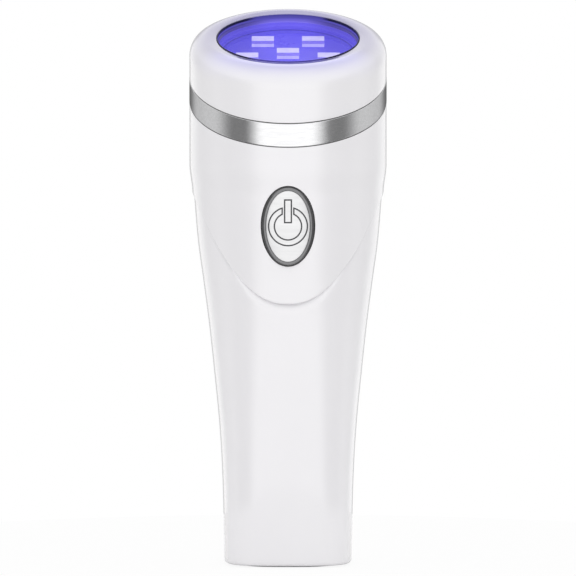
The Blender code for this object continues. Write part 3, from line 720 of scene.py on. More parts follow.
def quarter_round(steps: int) -> list[tuple[float, float]]:
    """Insets and rises of a quarter round of radius 1, from its foot to its side."""
    angles = [0.5 * math.pi * i / steps for i in range(steps + 1)]
    return [(1.0 - math.sin(a), 1.0 - math.cos(a)) for a in angles]


def dome_shares(steps: int) -> list[tuple[float, float]]:
    """Radii and heights of a dome of radius and height 1, from its rim to just short of its top."""
    shares = [math.cos(0.5 * math.pi * i / steps) for i in range(steps)]
    return [(share, math.sqrt(1.0 - share ** 2)) for share in shares]


def turned_piece(name: str, profile: Sequence[tuple[float, float]], place: Matrix, loop: bool = False,
                 count: int = ROUND_POINTS, sharp: float = SHARP_ANGLE) -> bpy.types.Object:
    """Revolve (radius, height) pairs about an axis.

    Args:
        name: The piece's name.
        profile: Radius and height pairs in order.
        place: Where the axis stands.
        loop: Whether the profile closes on itself.
        count: Points round the circle.
        sharp: The angle in degrees past which an edge stays sharp.

    Returns:
        The new object.
    """
    item = skin_rings(name, [flat_circle(r, h, count) for r, h in profile], loop, sharp)
    item.data.transform(place)
    return item


def block(name: str, size: Sequence[float], centre: Sequence[float], edge: float) -> bpy.types.Object:
    """A block, bevelled unless its edge is 0.

    Args:
        name: The piece's name.
        size: Its three sides.
        centre: Its middle.
        edge: The bevel's width.

    Returns:
        The new object.
    """
    work = bmesh.new()
    bmesh.ops.create_cube(work, size=1.0)
    bmesh.ops.scale(work, vec=Vector(size), verts=work.verts)
    if edge > 0.0:
        bmesh.ops.bevel(work, geom=list(work.edges), offset=edge, segments=BEVEL_STEPS,
                        profile=0.5, affect="EDGES")
    bmesh.ops.translate(work, vec=Vector(centre), verts=work.verts)
    mesh = bpy.data.meshes.new(name)
    work.to_mesh(mesh)
    work.free()
    mesh.shade_smooth()
    mesh.set_sharp_from_angle(angle=math.radians(SHARP_ANGLE))
    return in_scene(name, mesh)


def evaluated_mesh(item: bpy.types.Object) -> None:
    """Replace an object's mesh by its evaluated one and remove its modifiers.

    Args:
        item: The object.
    """
    bpy.context.view_layer.update()
    graph = bpy.context.evaluated_depsgraph_get()
    result = bpy.data.meshes.new_from_object(item.evaluated_get(graph))
    item.modifiers.clear()
    old = item.data
    item.data = result
    result.name = old.name
    bpy.data.meshes.remove(old)


def combine(target: bpy.types.Object, tool: bpy.types.Object, operation: str) -> bpy.types.Object:
    """Cut or intersect a piece with a tool, which is used up.

    Args:
        target: The piece.
        tool: The tool.
        operation: DIFFERENCE or INTERSECT.

    Returns:
        The piece.
    """
    modifier = target.modifiers.new(operation, "BOOLEAN")
    modifier.operation = operation
    modifier.solver = "EXACT"
    modifier.object = tool
    evaluated_mesh(target)
    bpy.data.objects.remove(tool, do_unlink=True)
    target.data.shade_smooth()
    target.data.set_sharp_from_angle(angle=math.radians(SHARP_ANGLE))
    return target


def soften(item: bpy.types.Object, width: float) -> bpy.types.Object:
    """Round a piece's sharp edges with an applied bevel.

    Args:
        item: The piece.
        width: The bevel's width.

    Returns:
        The piece.
    """
    modifier = item.modifiers.new("soft edge", "BEVEL")
    modifier.width = width
    modifier.segments = BEVEL_STEPS
    modifier.limit_method = "ANGLE"
    modifier.angle_limit = math.radians(MOULDED_ANGLE)
    modifier.harden_normals = False
    evaluated_mesh(item)
    return item


def dress(item: bpy.types.Object, material: bpy.types.Material, body: Body, slot: Slot,
          *nodes: str) -> bpy.types.Object:
    """Give a finished piece its finish and body, and hide the CAD nodes that it stands for.

    Args:
        item: The finished piece.
        material: Its finish.
        body: The body that it rides on.
        slot: The record's slot; not used.
        nodes: The CAD nodes that it replaces.

    Returns:
        The same object.
    """
    item.data.materials.clear()
    item.data.materials.append(material)
    item.data.polygons.foreach_set("material_index", [0] * len(item.data.polygons))
    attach(item, body.value)
    if nodes:
        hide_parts(*nodes)
    LOG.info("%s: %d faces on %s", item.name, len(item.data.polygons), body.value)
    return item


def dress_node(name: str, material: bpy.types.Material) -> None:
    """Give a carried-over CAD node its finish.

    Args:
        name: The node's name.
        material: Its finish.
    """
    item = bpy.data.objects[name]
    if item.material_slots:
        for slot in item.material_slots:
            slot.material = material
    else:
        item.data.materials.append(material)
    LOG.info("%s: kept and finished", name)


# Forms and pieces


def smooth_step(share: float) -> float:
    """An S curve from 0 to 1, flat at both ends."""
    share = max(0.0, min(1.0, share))
    return share * share * (3.0 - 2.0 * share)


@dataclass(frozen=True)
class HandleForm:
    """Outer form of the handle and the upper housing, foot to head."""

    foot_half_width: float = 14.85 * MM
    foot_half_depth: float = 13.4 * MM
    neck_half_width: float = 21.95 * MM
    neck_half_depth: float = 21.4 * MM
    neck_height: float = 86.7 * MM
    head_radius: float = 23.0 * MM
    shoulder_height: float = 93.5 * MM
    foot_square: float = 2.9
    neck_square: float = 2.0
    proud: float = 0.35 * MM
    shield_tip: float = 62.0 * MM
    shield_power: float = 2.4
    height_shares: tuple[float, ...] = (0.0, 0.063, 0.257, 0.386, 0.515, 0.644, 0.773, 0.870, 1.0)
    width_shares: tuple[float, ...] = (0.0, 0.010, 0.077, 0.176, 0.331, 0.500, 0.704, 0.866, 1.0)

    def flare(self, height: float) -> float:
        """How far the handle has opened at a height, on a smooth curve through the measured shares.

        Args:
            height: The height above the foot.

        Returns:
            A share from 0 at the foot to 1 at the neck.
        """
        share = max(0.0, min(1.0, height / self.neck_height))
        xs, ys = self.height_shares, self.width_shares
        last = len(xs) - 1
        slopes = []
        for i in range(last + 1):
            before, after = max(0, i - 1), min(last, i + 1)
            slopes.append((ys[after] - ys[before]) / (xs[after] - xs[before]))
        for i in range(last):
            if share <= xs[i + 1]:
                span = xs[i + 1] - xs[i]
                t = (share - xs[i]) / span
                return ((2 * t ** 3 - 3 * t ** 2 + 1) * ys[i] + (t ** 3 - 2 * t ** 2 + t) * span * slopes[i]
                        + (3 * t ** 2 - 2 * t ** 3) * ys[i + 1] + (t ** 3 - t ** 2) * span * slopes[i + 1])
        return 1.0

    def handle_section(self, height: float) -> tuple[float, float, float]:
        """The handle's outline at a height.

        Args:
            height: The height above the foot.

        Returns:
            Its half width, half depth and squareness.
        """
        share = self.flare(height)
        width = self.foot_half_width + (self.neck_half_width - self.foot_half_width) * share
        depth = self.foot_half_depth + (self.neck_half_depth - self.foot_half_depth) * share
        change = smooth_step(height / self.neck_height)
        square = self.foot_square + (self.neck_square - self.foot_square) * change
        return width, depth, square

    def housing_section(self, height: float) -> tuple[float, float, float]:
        """The upper housing's outline, which stands proud of the handle's and swells out to the head.

        Args:
            height: The height above the foot.

        Returns:
            Its half width, half depth and squareness.
        """
        width, depth, square = self.handle_section(height)
        rise = smooth_step((height - self.neck_height) / (self.shoulder_height - self.neck_height))
        width += self.proud + (self.head_radius - self.neck_half_width - self.proud) * rise
        depth += self.proud + (self.head_radius - self.neck_half_depth - self.proud) * rise
        return width, depth, square

    @staticmethod
    def point(section: tuple[float, float, float], angle: float, height: float, inset: float = 0.0) -> Vector:
        """A point on an outline.

        Args:
            section: The outline's half width, half depth and squareness.
            angle: The turn about the Z axis.
            height: The point's height.
            inset: How far it is set in.

        Returns:
            The point.
        """
        width, depth, square = section[0] - inset, section[1] - inset, section[2]
        c, s = math.cos(angle), math.sin(angle)
        reach = (abs(c) ** square + abs(s) ** square) ** (-1.0 / square)
        return Vector((width * reach * c, depth * reach * s, height))

    def back_at(self, x: float, height: float) -> float:
        """Depth of the handle's back at a place."""
        width, depth, square = self.handle_section(height)
        return depth * (1.0 - abs(x / width) ** square) ** (1.0 / square)

    def shield_edge(self, angle: float) -> float:
        """The line between the housing and the handle.

        Args:
            angle: The turn about the Z axis.

        Returns:
            The line's height.
        """
        if math.sin(angle) >= 0.0:
            return self.neck_height
        drop = self.neck_height - self.shield_tip
        return self.shield_tip + drop * abs(math.cos(angle)) ** self.shield_power


@dataclass(frozen=True)
class HeadForm:
    """Places of the head: its axis, opening, cap and band."""

    radius: float
    tilt: float = math.radians(17.0)
    height: float = 122.85 * MM
    opening: float = 16.7 * MM
    crest: float = 18.8 * MM
    crest_rise: float = 0.5 * MM
    shoulder_drop: float = 4.05 * MM
    band_top: float = 113.6 * MM
    band_top_slope: float = 0.412
    band_low: float = 108.4 * MM
    band_low_slope: float = 0.415

    def frame(self) -> Matrix:
        """Placement of the head's axis."""
        return Matrix.Translation((0.0, 0.0, self.height)) @ Matrix.Rotation(self.tilt, 4, "X")

    def tilted(self, radius: float, depth: float) -> Ring:
        """A ring about the head's axis, at a depth below the opening."""
        place = self.frame()
        return [place @ p for p in flat_circle(radius, -depth, HEAD_POINTS)]

    @staticmethod
    def sheared(radius: float, height: float, slope: float) -> Ring:
        """A ring on the upright wall, cut by a sloping plane."""
        return [Vector((p.x, p.y, height + slope * p.y)) for p in flat_circle(radius, 0.0, HEAD_POINTS)]


def between(first: Ring, second: Ring, out: float, up: float) -> Ring:
    """A ring between two others, with its own share outwards and upwards."""
    return [Vector((a.x + (b.x - a.x) * out, a.y + (b.y - a.y) * out, a.z + (b.z - a.z) * up))
            for a, b in zip(first, second)]


def round_over(first: Ring, second: Ring, steps: int, up_first: bool = True) -> list[Ring]:
    """Rings over a quarter round between two rings.

    Args:
        first: The ring where it starts.
        second: The ring where it ends.
        steps: How many steps it takes.
        up_first: Whether it sets off upwards rather than outwards.

    Returns:
        The rings between the two.
    """
    rings = []
    for i in range(1, steps):
        turn = 0.5 * math.pi * i / steps
        if up_first:
            rings.append(between(first, second, 1.0 - math.cos(turn), math.sin(turn)))
        else:
            rings.append(between(first, second, math.sin(turn), 1.0 - math.cos(turn)))
    return rings


@dataclass
class HeadCap:
    """White domed cap round the opening."""

    head: HeadForm
    wall: float = 1.8 * MM
    lip: float = 1.0 * MM
    pocket: float = 18.7 * MM
    pocket_depth: float = 3.2 * MM
    gap: float = 0.22 * MM
    edge: float = 0.08 * MM
    edge_steps: int = 4
    side_steps: int = 4
    shoulder_steps: int = 22
    crest_steps: int = 10

    def build(self, finish: bpy.types.Material) -> bpy.types.Object:
        """Loft the cap from its sloping foot over the crest into the opening.

        Args:
            finish: The cap's material.

        Returns:
            The dressed cap.
        """
        head = self.head
        low = head.band_top + self.gap
        foot = head.sheared(head.radius - self.edge, low, head.band_top_slope)
        foot_edge = head.sheared(head.radius, low + self.edge, head.band_top_slope)
        side = head.sheared(head.radius, head.height - head.shoulder_drop, math.tan(head.tilt))
        crest = head.tilted(head.crest, -head.crest_rise)
        mouth = head.tilted(head.opening, 0.0)
        rings = [foot] + round_over(foot, foot_edge, self.edge_steps, False) + [foot_edge]
        shares = [i / self.side_steps for i in range(1, self.side_steps)]
        rings += [between(foot_edge, side, share, share) for share in shares] + [side]
        rings += round_over(side, crest, self.shoulder_steps) + [crest]
        rings += round_over(crest, mouth, self.crest_steps, False) + [mouth]
        rings += [head.tilted(head.opening, self.lip), head.tilted(self.pocket, self.lip),
                  head.tilted(self.pocket, self.pocket_depth),
                  head.sheared(head.radius - self.wall, low, head.band_top_slope)]
        cap = skin_rings("head_cap", rings, loop=True, sharp=MOULDED_ANGLE)
        return dress(cap, finish, Body.HOUSING, Slot.WHITE, "head_bezel")


@dataclass
class BrightBand:
    """Plated band round the head, with rounded edges."""

    head: HeadForm
    proud: float = 0.02 * MM
    wall: float = 1.6 * MM
    edge: float = 0.08 * MM
    # seal: width of the dark rings that fill the gaps beside the band as painted shade.
    seal: float = 0.2 * MM
    seal_inset: float = 0.04 * MM
    seam: float = 0.01 * MM
    edge_steps: int = 4
    wall_shares: tuple[float, ...] = (0.04, 0.1, 0.5, 0.9, 0.96)

    def build(self, finish: bpy.types.Material) -> bpy.types.Object:
        """Loft the band between its two sloping planes.

        Args:
            finish: The band's material.

        Returns:
            The dressed band.
        """
        head = self.head
        outer, inner = head.radius + self.proud, head.radius - self.wall
        low = head.sheared(outer - self.edge, head.band_low, head.band_low_slope)
        low_edge = head.sheared(outer, head.band_low + self.edge, head.band_low_slope)
        top_edge = head.sheared(outer, head.band_top - self.edge, head.band_top_slope)
        top = head.sheared(outer - self.edge, head.band_top, head.band_top_slope)
        rings = [low] + round_over(low, low_edge, self.edge_steps, False) + [low_edge]
        rings += [between(low_edge, top_edge, share, share) for share in self.wall_shares] + [top_edge]
        rings += round_over(top_edge, top, self.edge_steps) + [top]
        rings += [head.sheared(inner, head.band_top, head.band_top_slope),
                  head.sheared(inner, head.band_low, head.band_low_slope)]
        band = skin_rings("bright_band", rings, loop=True, sharp=MOULDED_ANGLE)
        return dress(band, finish, Body.HOUSING, Slot.BAND, "chrome_ring")

    def build_lines(self, finish: bpy.types.Material) -> None:
        """Thin dark rings above and below the band, put in the gaps as painted shade where the gaps' shadow
        falls.

        Args:
            finish: The seals' material.
        """
        head = self.head
        outer, inner = head.radius - self.seal_inset, head.radius - self.wall
        lines = (("upper_line", head.band_top + self.seam, head.band_top_slope),
                 ("lower_line", head.band_low - self.seam - self.seal, head.band_low_slope))
        for name, height, slope in lines:
            top = height + self.seal
            profile = ((outer, height), (outer, top), (inner, top), (inner, height))
            rings = [head.sheared(radius, level, slope) for radius, level in profile]
            dress(skin_rings(name, rings, loop=True, sharp=MOULDED_ANGLE), finish, Body.HOUSING, Slot.SEAL)


@dataclass
class LightEngine:
    """Lip, seal, window, cup, board and light sources, stacked on the head's axis."""

    head: HeadForm
    seat: float = 0.05 * MM
    lip: float = 1.0 * MM
    lip_fit: float = 0.03 * MM
    lip_wall: float = 0.2 * MM
    lip_rise: float = 0.32 * MM
    lip_soft_share: float = 0.25
    lip_shoulder: float = 0.96
    seal_thick: float = 0.9 * MM
    seal_soft_share: float = 0.3
    seal_bore: float = 16.1 * MM
    window_radius: float = 18.4 * MM
    window_thick: float = 1.0 * MM
    window_edge: float = 0.3 * MM
    window_dome: float = 0.3 * MM
    window_steps: int = 13
    window_sharp: float = 20.0
    cup_top: float = 16.0 * MM
    cup_ledge: float = 15.5 * MM
    ledge_drop: float = 0.5 * MM
    flange_drop: float = 0.2 * MM
    soft: float = 0.08 * MM
    cup_floor: float = 14.9 * MM
    cup_wall: float = 1.0 * MM
    source_depth: float = 3.65 * MM
    source_side: float = 5.2 * MM
    source_height: float = 0.9 * MM
    source_circle: float = 10.0 * MM
    source_count: int = 5
    bright_share: float = 0.62
    plate_thick: float = 0.06 * MM
    plate_inset: float = 0.04 * MM
    plate_gap: float = 0.02 * MM
    board_thick: float = 2.35 * MM
    board_round: float = 0.15 * MM
    board_points: int = 96

    def window_depth(self) -> float:
        """Depth of the window's outer face."""
        return self.lip + self.seal_thick + self.seat

    def floor_depth(self) -> float:
        """Depth of the board's face."""
        return self.source_depth + self.source_height

    def lip_ring(self, radius: float, level: float) -> Ring:
        """A ring of the lip, whose top rises to the front.

        Args:
            radius: The ring's radius.
            level: Its share of the lip's height, from 0 at the foot to 1 at the top.

        Returns:
            The ring.
        """
        place, low = self.head.frame(), self.seat - self.lip
        points = []
        for a in turns(HEAD_POINTS):
            top = 0.5 * self.lip_rise * (1.0 - math.sin(a))
            height = low + (top - low) * level
            points.append(place @ Vector((radius * math.cos(a), radius * math.sin(a), height)))
        return points

    def build_lip(self, finish: bpy.types.Material) -> bpy.types.Object:
        """Thin dark lip that lines the opening.

        Args:
            finish: The piece's material.

        Returns:
            The dressed piece.
        """
        outer = self.head.opening - self.lip_fit
        inner, soft = outer - self.lip_wall, self.lip_soft_share * self.lip_wall
        profile = [(outer, 0.0), (outer, self.lip_shoulder), (outer - soft, 1.0),
                   (inner + soft, 1.0), (inner, self.lip_shoulder), (inner, 0.0)]
        lip = skin_rings("opening_lip", [self.lip_ring(r, level) for r, level in profile], loop=True)
        return dress(lip, finish, Body.HOUSING, Slot.SEAL)

    def build_seal(self, finish: bpy.types.Material) -> bpy.types.Object:
        """Dark seal with a rounded inner lip.

        Args:
            finish: The piece's material.

        Returns:
            The dressed piece.
        """
        top = -self.lip - self.seat
        low = -self.lip - self.seal_thick
        soft = self.seal_soft_share * self.seal_thick
        profile = [(self.seal_bore + soft, low), (self.window_radius, low), (self.window_radius, top),
                   (self.seal_bore + soft, top), (self.seal_bore, top - soft), (self.seal_bore, low + soft)]
        seal = turned_piece("window_seal", profile, self.head.frame(), loop=True)
        return dress(seal, finish, Body.HOUSING, Slot.SEAL, "lens_gasket")

    def build_window(self, finish: bpy.types.Material) -> bpy.types.Object:
        """Clear window, gently crowned outside.

        Args:
            finish: The piece's material.

        Returns:
            The dressed piece.
        """
        top = -self.window_depth()
        edge = self.seal_bore - self.window_edge
        profile = [(self.window_radius, top - self.window_thick), (self.window_radius, top)]
        profile += [(edge * out, top + self.window_dome * up) for out, up in dome_shares(self.window_steps)]
        window = turned_piece("window", profile, self.head.frame(), sharp=self.window_sharp)
        return dress(window, finish, Body.HOUSING, Slot.WINDOW, "lens")

    def build_cup(self, finish: bpy.types.Material) -> bpy.types.Object:
        """Stepped cup with a soft ledge.

        Args:
            finish: The piece's material.

        Returns:
            The dressed piece.
        """
        top = -self.window_depth() - self.window_thick - self.seat
        ledge = top - self.ledge_drop
        floor = -self.floor_depth()
        flange = ledge - self.flange_drop
        soft = self.soft
        profile = [(self.cup_floor, floor), (self.cup_floor + self.cup_wall, floor),
                   (self.cup_ledge + self.cup_wall, flange), (self.window_radius, flange),
                   (self.window_radius, top), (self.cup_top, top), (self.cup_top - soft, ledge + soft),
                   (self.cup_ledge + soft, ledge), (self.cup_ledge, ledge - soft)]
        cup = turned_piece("light_cup", profile, self.head.frame(), loop=True)
        return dress(cup, finish, Body.HOUSING, Slot.CUP, "reflector_cup")

    def source_places(self) -> list[tuple[float, float]]:
        """The middle place and a ring of places, one of them at the front.

        Returns:
            Their X and Y on the head's axis.
        """
        reach = self.source_circle
        ring = [-0.5 * math.pi + 2.0 * math.pi * i / self.source_count for i in range(self.source_count)]
        return [(0.0, 0.0)] + [(reach * math.cos(a), reach * math.sin(a)) for a in ring]

    def build_sources(self, side: bpy.types.Material, bright: bpy.types.Material,
                      dim: bpy.types.Material) -> None:
        """Square packages, each with a bright far field and a dimmer near field on its face.

        Args:
            side: The finish of a package's sides.
            bright: The finish of the far field.
            dim: The finish of the near field.
        """
        low, top = -self.floor_depth() + self.seat, -self.source_depth - self.plate_thick
        width = self.source_side - self.plate_inset
        bright_depth = self.source_side * self.bright_share
        dim_depth = self.source_side - bright_depth
        for index, (x, y) in enumerate(self.source_places()):
            number = index + 1
            package = block(f"source_{number}", (self.source_side, self.source_side, top - low),
                            (x, y, 0.5 * (low + top)), self.soft)
            package.data.transform(self.head.frame())
            dress(package, side, Body.HOUSING, Slot.EMITTER, f"led_{number}")
            far, near = y + 0.5 * dim_depth, y - 0.5 * bright_depth
            for name, depth, middle, finish in (("far_field", bright_depth, far, bright),
                                                ("near_field", dim_depth, near, dim)):
                field_plate = block(f"{name}_{number}", (width, depth - self.plate_gap, self.plate_thick),
                                    (x, middle, top + 0.5 * self.plate_thick), 0.0)
                field_plate.data.transform(self.head.frame())
                dress(field_plate, finish, Body.HOUSING, Slot.EMITTER)

    def build_board(self, finish: bpy.types.Material) -> bpy.types.Object:
        """Round board with a small edge round.

        Args:
            finish: The piece's material.

        Returns:
            The dressed piece.
        """
        top = -self.floor_depth() - self.seat
        radius, soft = self.cup_floor + self.cup_wall, self.board_round
        profile = [(radius, top - self.board_thick), (radius, top - soft), (radius - soft, top)]
        board = turned_piece("light_board", profile, self.head.frame(), count=self.board_points)
        return dress(board, finish, Body.HOUSING, Slot.BOARD, "led_board")


@dataclass
class UpperHousing:
    """White housing under the band, whose shield runs down the front."""

    form: HandleForm
    head: HeadForm
    wall: float = 2.0 * MM
    edge: float = 0.35 * MM
    gap: float = 0.22 * MM
    crest: float = 0.08 * MM
    crest_middle: Span = (0.02 * MM, 0.03 * MM)
    hole_reach: Span = (2.0 * MM, 3.0 * MM)
    round_steps: int = 6
    levels: int = 44
    inner_levels: int = 8
    count: int = 256

    def ring(self, share: float, inset: float, lift: float, drop: float = 0.0) -> Ring:
        """A ring between the shield's line and the band's plane.

        Args:
            share: Its share of the way up.
            inset: How far it is set in.
            lift: How far its low end lies above the shield's line.
            drop: How far its high end lies below its usual gap under the band.

        Returns:
            The ring.
        """
        points = []
        for a in turns(self.count):
            low = self.form.shield_edge(a) + lift
            y = (self.form.head_radius - inset) * math.sin(a)
            high = self.head.band_low + self.head.band_low_slope * y - self.gap - drop
            height = low + (high - low) * share
            points.append(self.form.point(self.form.housing_section(height), a, height, inset))
        return points

    def build(self, finish: bpy.types.Material, key: "PowerKey") -> bpy.types.Object:
        """Loft the housing and open it for the button's rim.

        Args:
            finish: The housing's material.
            key: The power key, which gives the hole's place and size.

        Returns:
            The dressed housing.
        """
        edge, middle = self.edge, self.crest_middle
        shares = quarter_round(self.round_steps)[:-1]
        low_round = [self.ring(0.0, edge * inset, edge * rise) for inset, rise in shares]
        outer = [self.ring(i / self.levels, 0.0, edge, self.crest) for i in range(self.levels + 1)]
        top = [self.ring(1.0, middle[0], edge, middle[1]), self.ring(1.0, self.crest, edge)]
        inner = [self.ring(i / self.inner_levels, self.wall, 0.0) for i in range(self.inner_levels, -1, -1)]
        housing = skin_rings("upper_shell", low_round + outer + top + inner, loop=True, sharp=MOULDED_ANGLE)
        hole = key.bar("hole", key.rim_half_width + key.rim_fit, key.rim_half_height + key.rim_fit,
                       -key.rim_depth - self.hole_reach[0], self.hole_reach[1])
        combine(housing, hole, "DIFFERENCE")
        return dress(housing, finish, Body.HOUSING, Slot.WHITE, "upper_housing")


@dataclass
class PowerKey:
    """Oval power key with its rim and symbol, leaning with the shield."""

    form: HandleForm
    height: float = 80.3 * MM
    rim_half_width: float = 6.22 * MM
    rim_half_height: float = 9.42 * MM
    rim_band: float = 1.05 * MM
    rim_proud: float = 0.3 * MM
    rim_fit: float = 0.12 * MM
    rim_depth: float = 4.2 * MM
    rim_edge: float = 0.22 * MM
    rim_steps: int = 10
    inner_fall: float = 0.35
    # The seat is a dark ring round the rim that stands in for the gap's shade.
    seat_band: float = 0.25 * MM
    seat_proud: float = 0.06 * MM
    seat_fit: float = 0.03 * MM
    key_gap: float = 0.07 * MM
    key_proud: float = 0.22 * MM
    key_dome: float = 0.1 * MM
    key_depth: float = 2.6 * MM
    key_steps: int = 15
    sign_outer: float = 4.5 * MM
    sign_inner: float = 3.16 * MM
    sign_gap: float = 1.35 * MM
    bar_half: float = 0.78 * MM
    bar_low: float = 0.91 * MM
    bar_high: float = 6.22 * MM
    line_width: float = 0.33 * MM
    line_height: float = 0.03 * MM
    line_sunk: float = 0.05 * MM
    line_sharp: float = 30.0
    corner_limit: float = 0.6
    sign_steps: int = 96
    bar_steps: int = 8
    lean_reach: float = 0.3 * MM
    rim_sharp: float = 60.0
    count: int = 144

    def frame(self) -> Matrix:
        """Placement of the key's face, square to the housing's front.

        Returns:
            The placement.
        """
        step = self.lean_reach
        low = self.form.housing_section(self.height - step)[1]
        high = self.form.housing_section(self.height + step)[1]
        lean = math.atan2(high - low, 2.0 * step)
        place = Matrix.Translation((0.0, -self.form.housing_section(self.height)[1], self.height))
        return place @ Matrix.Rotation(0.5 * math.pi + lean, 4, "X")

    def sag(self, x: float) -> float:
        """How far the bowed front falls back at a distance from its middle line."""
        radius = self.form.housing_section(self.height)[0]
        return radius - math.sqrt(radius ** 2 - x ** 2)

    def key_halves(self) -> tuple[float, float]:
        """Half width and half height of the key."""
        return (self.rim_half_width - self.rim_band - self.key_gap,
                self.rim_half_height - self.rim_band - self.key_gap)

    def oval(self, half_width: float, half_height: float, height: float, bow: float = 1.0) -> Ring:
        """An oval ring on the face.

        Args:
            half_width: Its half width.
            half_height: Its half height.
            height: How far it stands off the face.
            bow: The share by which it bows with the wall.

        Returns:
            The ring.
        """
        points = []
        for a in turns(self.count):
            x = half_width * math.cos(a)
            points.append(Vector((x, half_height * math.sin(a), height - bow * self.sag(x))))
        return points

    def bar(self, name: str, half_width: float, half_height: float, low: float,
            high: float) -> bpy.types.Object:
        """A straight oval bar square to the face.

        Args:
            name: The bar's name.
            half_width: Its half width.
            half_height: Its half height.
            low: Where it starts, measured off the face.
            high: Where it ends.

        Returns:
            The bar.
        """
        rings = [self.oval(half_width, half_height, z, 0.0) for z in (low, high)]
        item = skin_rings(name, rings)
        item.data.transform(self.frame())
        return item

    def build_rim(self, finish: bpy.types.Material) -> bpy.types.Object:
        """Oval rim with a rounded crest.

        Args:
            finish: The piece's material.

        Returns:
            The dressed piece.
        """
        w, h = self.rim_half_width - self.seat_band, self.rim_half_height - self.seat_band
        band, edge = self.rim_band - self.seat_band, self.rim_edge
        low = self.rim_proud - self.rim_depth
        rings = [self.oval(w, h, low, 0.0)]
        for i in range(self.rim_steps + 1):
            turn = math.pi * i / self.rim_steps
            inset = 0.5 * band * (1.0 - math.cos(turn))
            fall = edge if 2 * i < self.rim_steps else self.inner_fall * edge
            rise = self.rim_proud - fall * (1.0 - math.sin(turn))
            rings.append(self.oval(w - inset, h - inset, rise))
        rings.append(self.oval(w - band, h - band, low, 0.0))
        rim = skin_rings("button_rim", rings, loop=True, sharp=self.rim_sharp)
        rim.data.transform(self.frame())
        return dress(rim, finish, Body.HOUSING, Slot.RIM, "button_bezel")

    def build_seat(self, finish: bpy.types.Material) -> bpy.types.Object:
        """Dark seat ring between the rim and the housing, dark as painted shade for the gap's shadow.

        Args:
            finish: The piece's material.

        Returns:
            The dressed piece.
        """
        w, h, band = self.rim_half_width, self.rim_half_height, self.seat_band - self.seat_fit
        low = self.rim_proud - self.rim_depth
        rings = [self.oval(w, h, low, 0.0), self.oval(w, h, self.seat_proud),
                 self.oval(w - band, h - band, self.seat_proud), self.oval(w - band, h - band, low, 0.0)]
        seat = skin_rings("rim_seat", rings, loop=True, sharp=self.rim_sharp)
        seat.data.transform(self.frame())
        return dress(seat, finish, Body.HOUSING, Slot.SEAL)

    def key_rise(self, x: float, y: float) -> float:
        """Height of the key's crowned face.

        Args:
            x: The place across the face.
            y: The place up the face.

        Returns:
            The height off the housing's front.
        """
        w, h = self.key_halves()
        share = min(1.0, math.hypot(x / w, y / h))
        return self.key_proud - self.key_dome + self.key_dome * math.sqrt(1.0 - share ** 2) - self.sag(x)

    def build_key(self, finish: bpy.types.Material) -> bpy.types.Object:
        """Oval key with a crowned, bowed face.

        Args:
            finish: The piece's material.

        Returns:
            The dressed piece.
        """
        w, h = self.key_halves()
        rings = [self.oval(w, h, -self.key_depth, 0.0)]
        for out, up in dome_shares(self.key_steps):
            rings.append(self.oval(w * out, h * out, self.key_proud - self.key_dome + self.key_dome * up))
        key = skin_rings("power_key", rings, sharp=MOULDED_ANGLE)
        key.data.transform(self.frame())
        return dress(key, finish, Body.BUTTON, Slot.KEY, "power_button")

    def sign_paths(self) -> list[list[tuple[float, float]]]:
        """The power sign's closed outlines.

        Returns:
            The outlines of the open ring and of the bar, as X and Y pairs on the face.
        """
        start = math.acos(self.sign_gap / self.sign_outer)
        inner_start = math.acos(self.sign_gap / self.sign_inner)
        steps = self.sign_steps
        ring = []
        for i in range(steps + 1):
            a = start - (2.0 * start + math.pi) * i / steps
            ring.append((self.sign_outer * math.cos(a), self.sign_outer * math.sin(a)))
        for i in range(steps + 1):
            a = -math.pi - inner_start + (2.0 * inner_start + math.pi) * i / steps
            ring.append((self.sign_inner * math.cos(a), self.sign_inner * math.sin(a)))
        bar = []
        corners = [(-self.bar_half, self.bar_low), (self.bar_half, self.bar_low),
                   (self.bar_half, self.bar_high), (-self.bar_half, self.bar_high)]
        for (x0, y0), (x1, y1) in zip(corners, corners[1:] + corners[:1]):
            shares = [i / self.bar_steps for i in range(self.bar_steps)]
            bar += [(x0 + (x1 - x0) * share, y0 + (y1 - y0) * share) for share in shares]
        return [ring, bar]

    def ribbon(self, name: str, path: Sequence[tuple[float, float]]) -> bpy.types.Object:
        """A thin raised line along a closed outline on the key's face.

        Args:
            name: The line's name.
            path: The outline, as X and Y pairs.

        Returns:
            The line.
        """
        count, half = len(path), 0.5 * self.line_width
        rings = []
        for i, (x, y) in enumerate(path):
            before, after = Vector(path[i - 1]), Vector(path[(i + 1) % count])
            here = Vector((x, y))
            first, second = (here - before).normalized(), (after - here).normalized()
            along = (first + second).normalized()
            stretch = 1.0 / max(self.corner_limit, along.dot(second))
            side = Vector((along.y, -along.x)) * half * stretch
            ring = []
            for sign, lift in ((1, -self.line_sunk), (1, self.line_height),
                               (-1, self.line_height), (-1, -self.line_sunk)):
                px, py = x + sign * side.x, y + sign * side.y
                ring.append(Vector((px, py, self.key_rise(px, py) + lift)))
            rings.append(ring)
        item = skin_rings(name, rings, loop=True, sharp=self.line_sharp)
        item.data.transform(self.frame())
        return item

    def build_sign(self, finish: bpy.types.Material) -> None:
        """Printed outline of the power sign."""
        for name, path in zip(("sign_ring", "sign_bar"), self.sign_paths()):
            dress(self.ribbon(name, path), finish, Body.BUTTON, Slot.KEY)


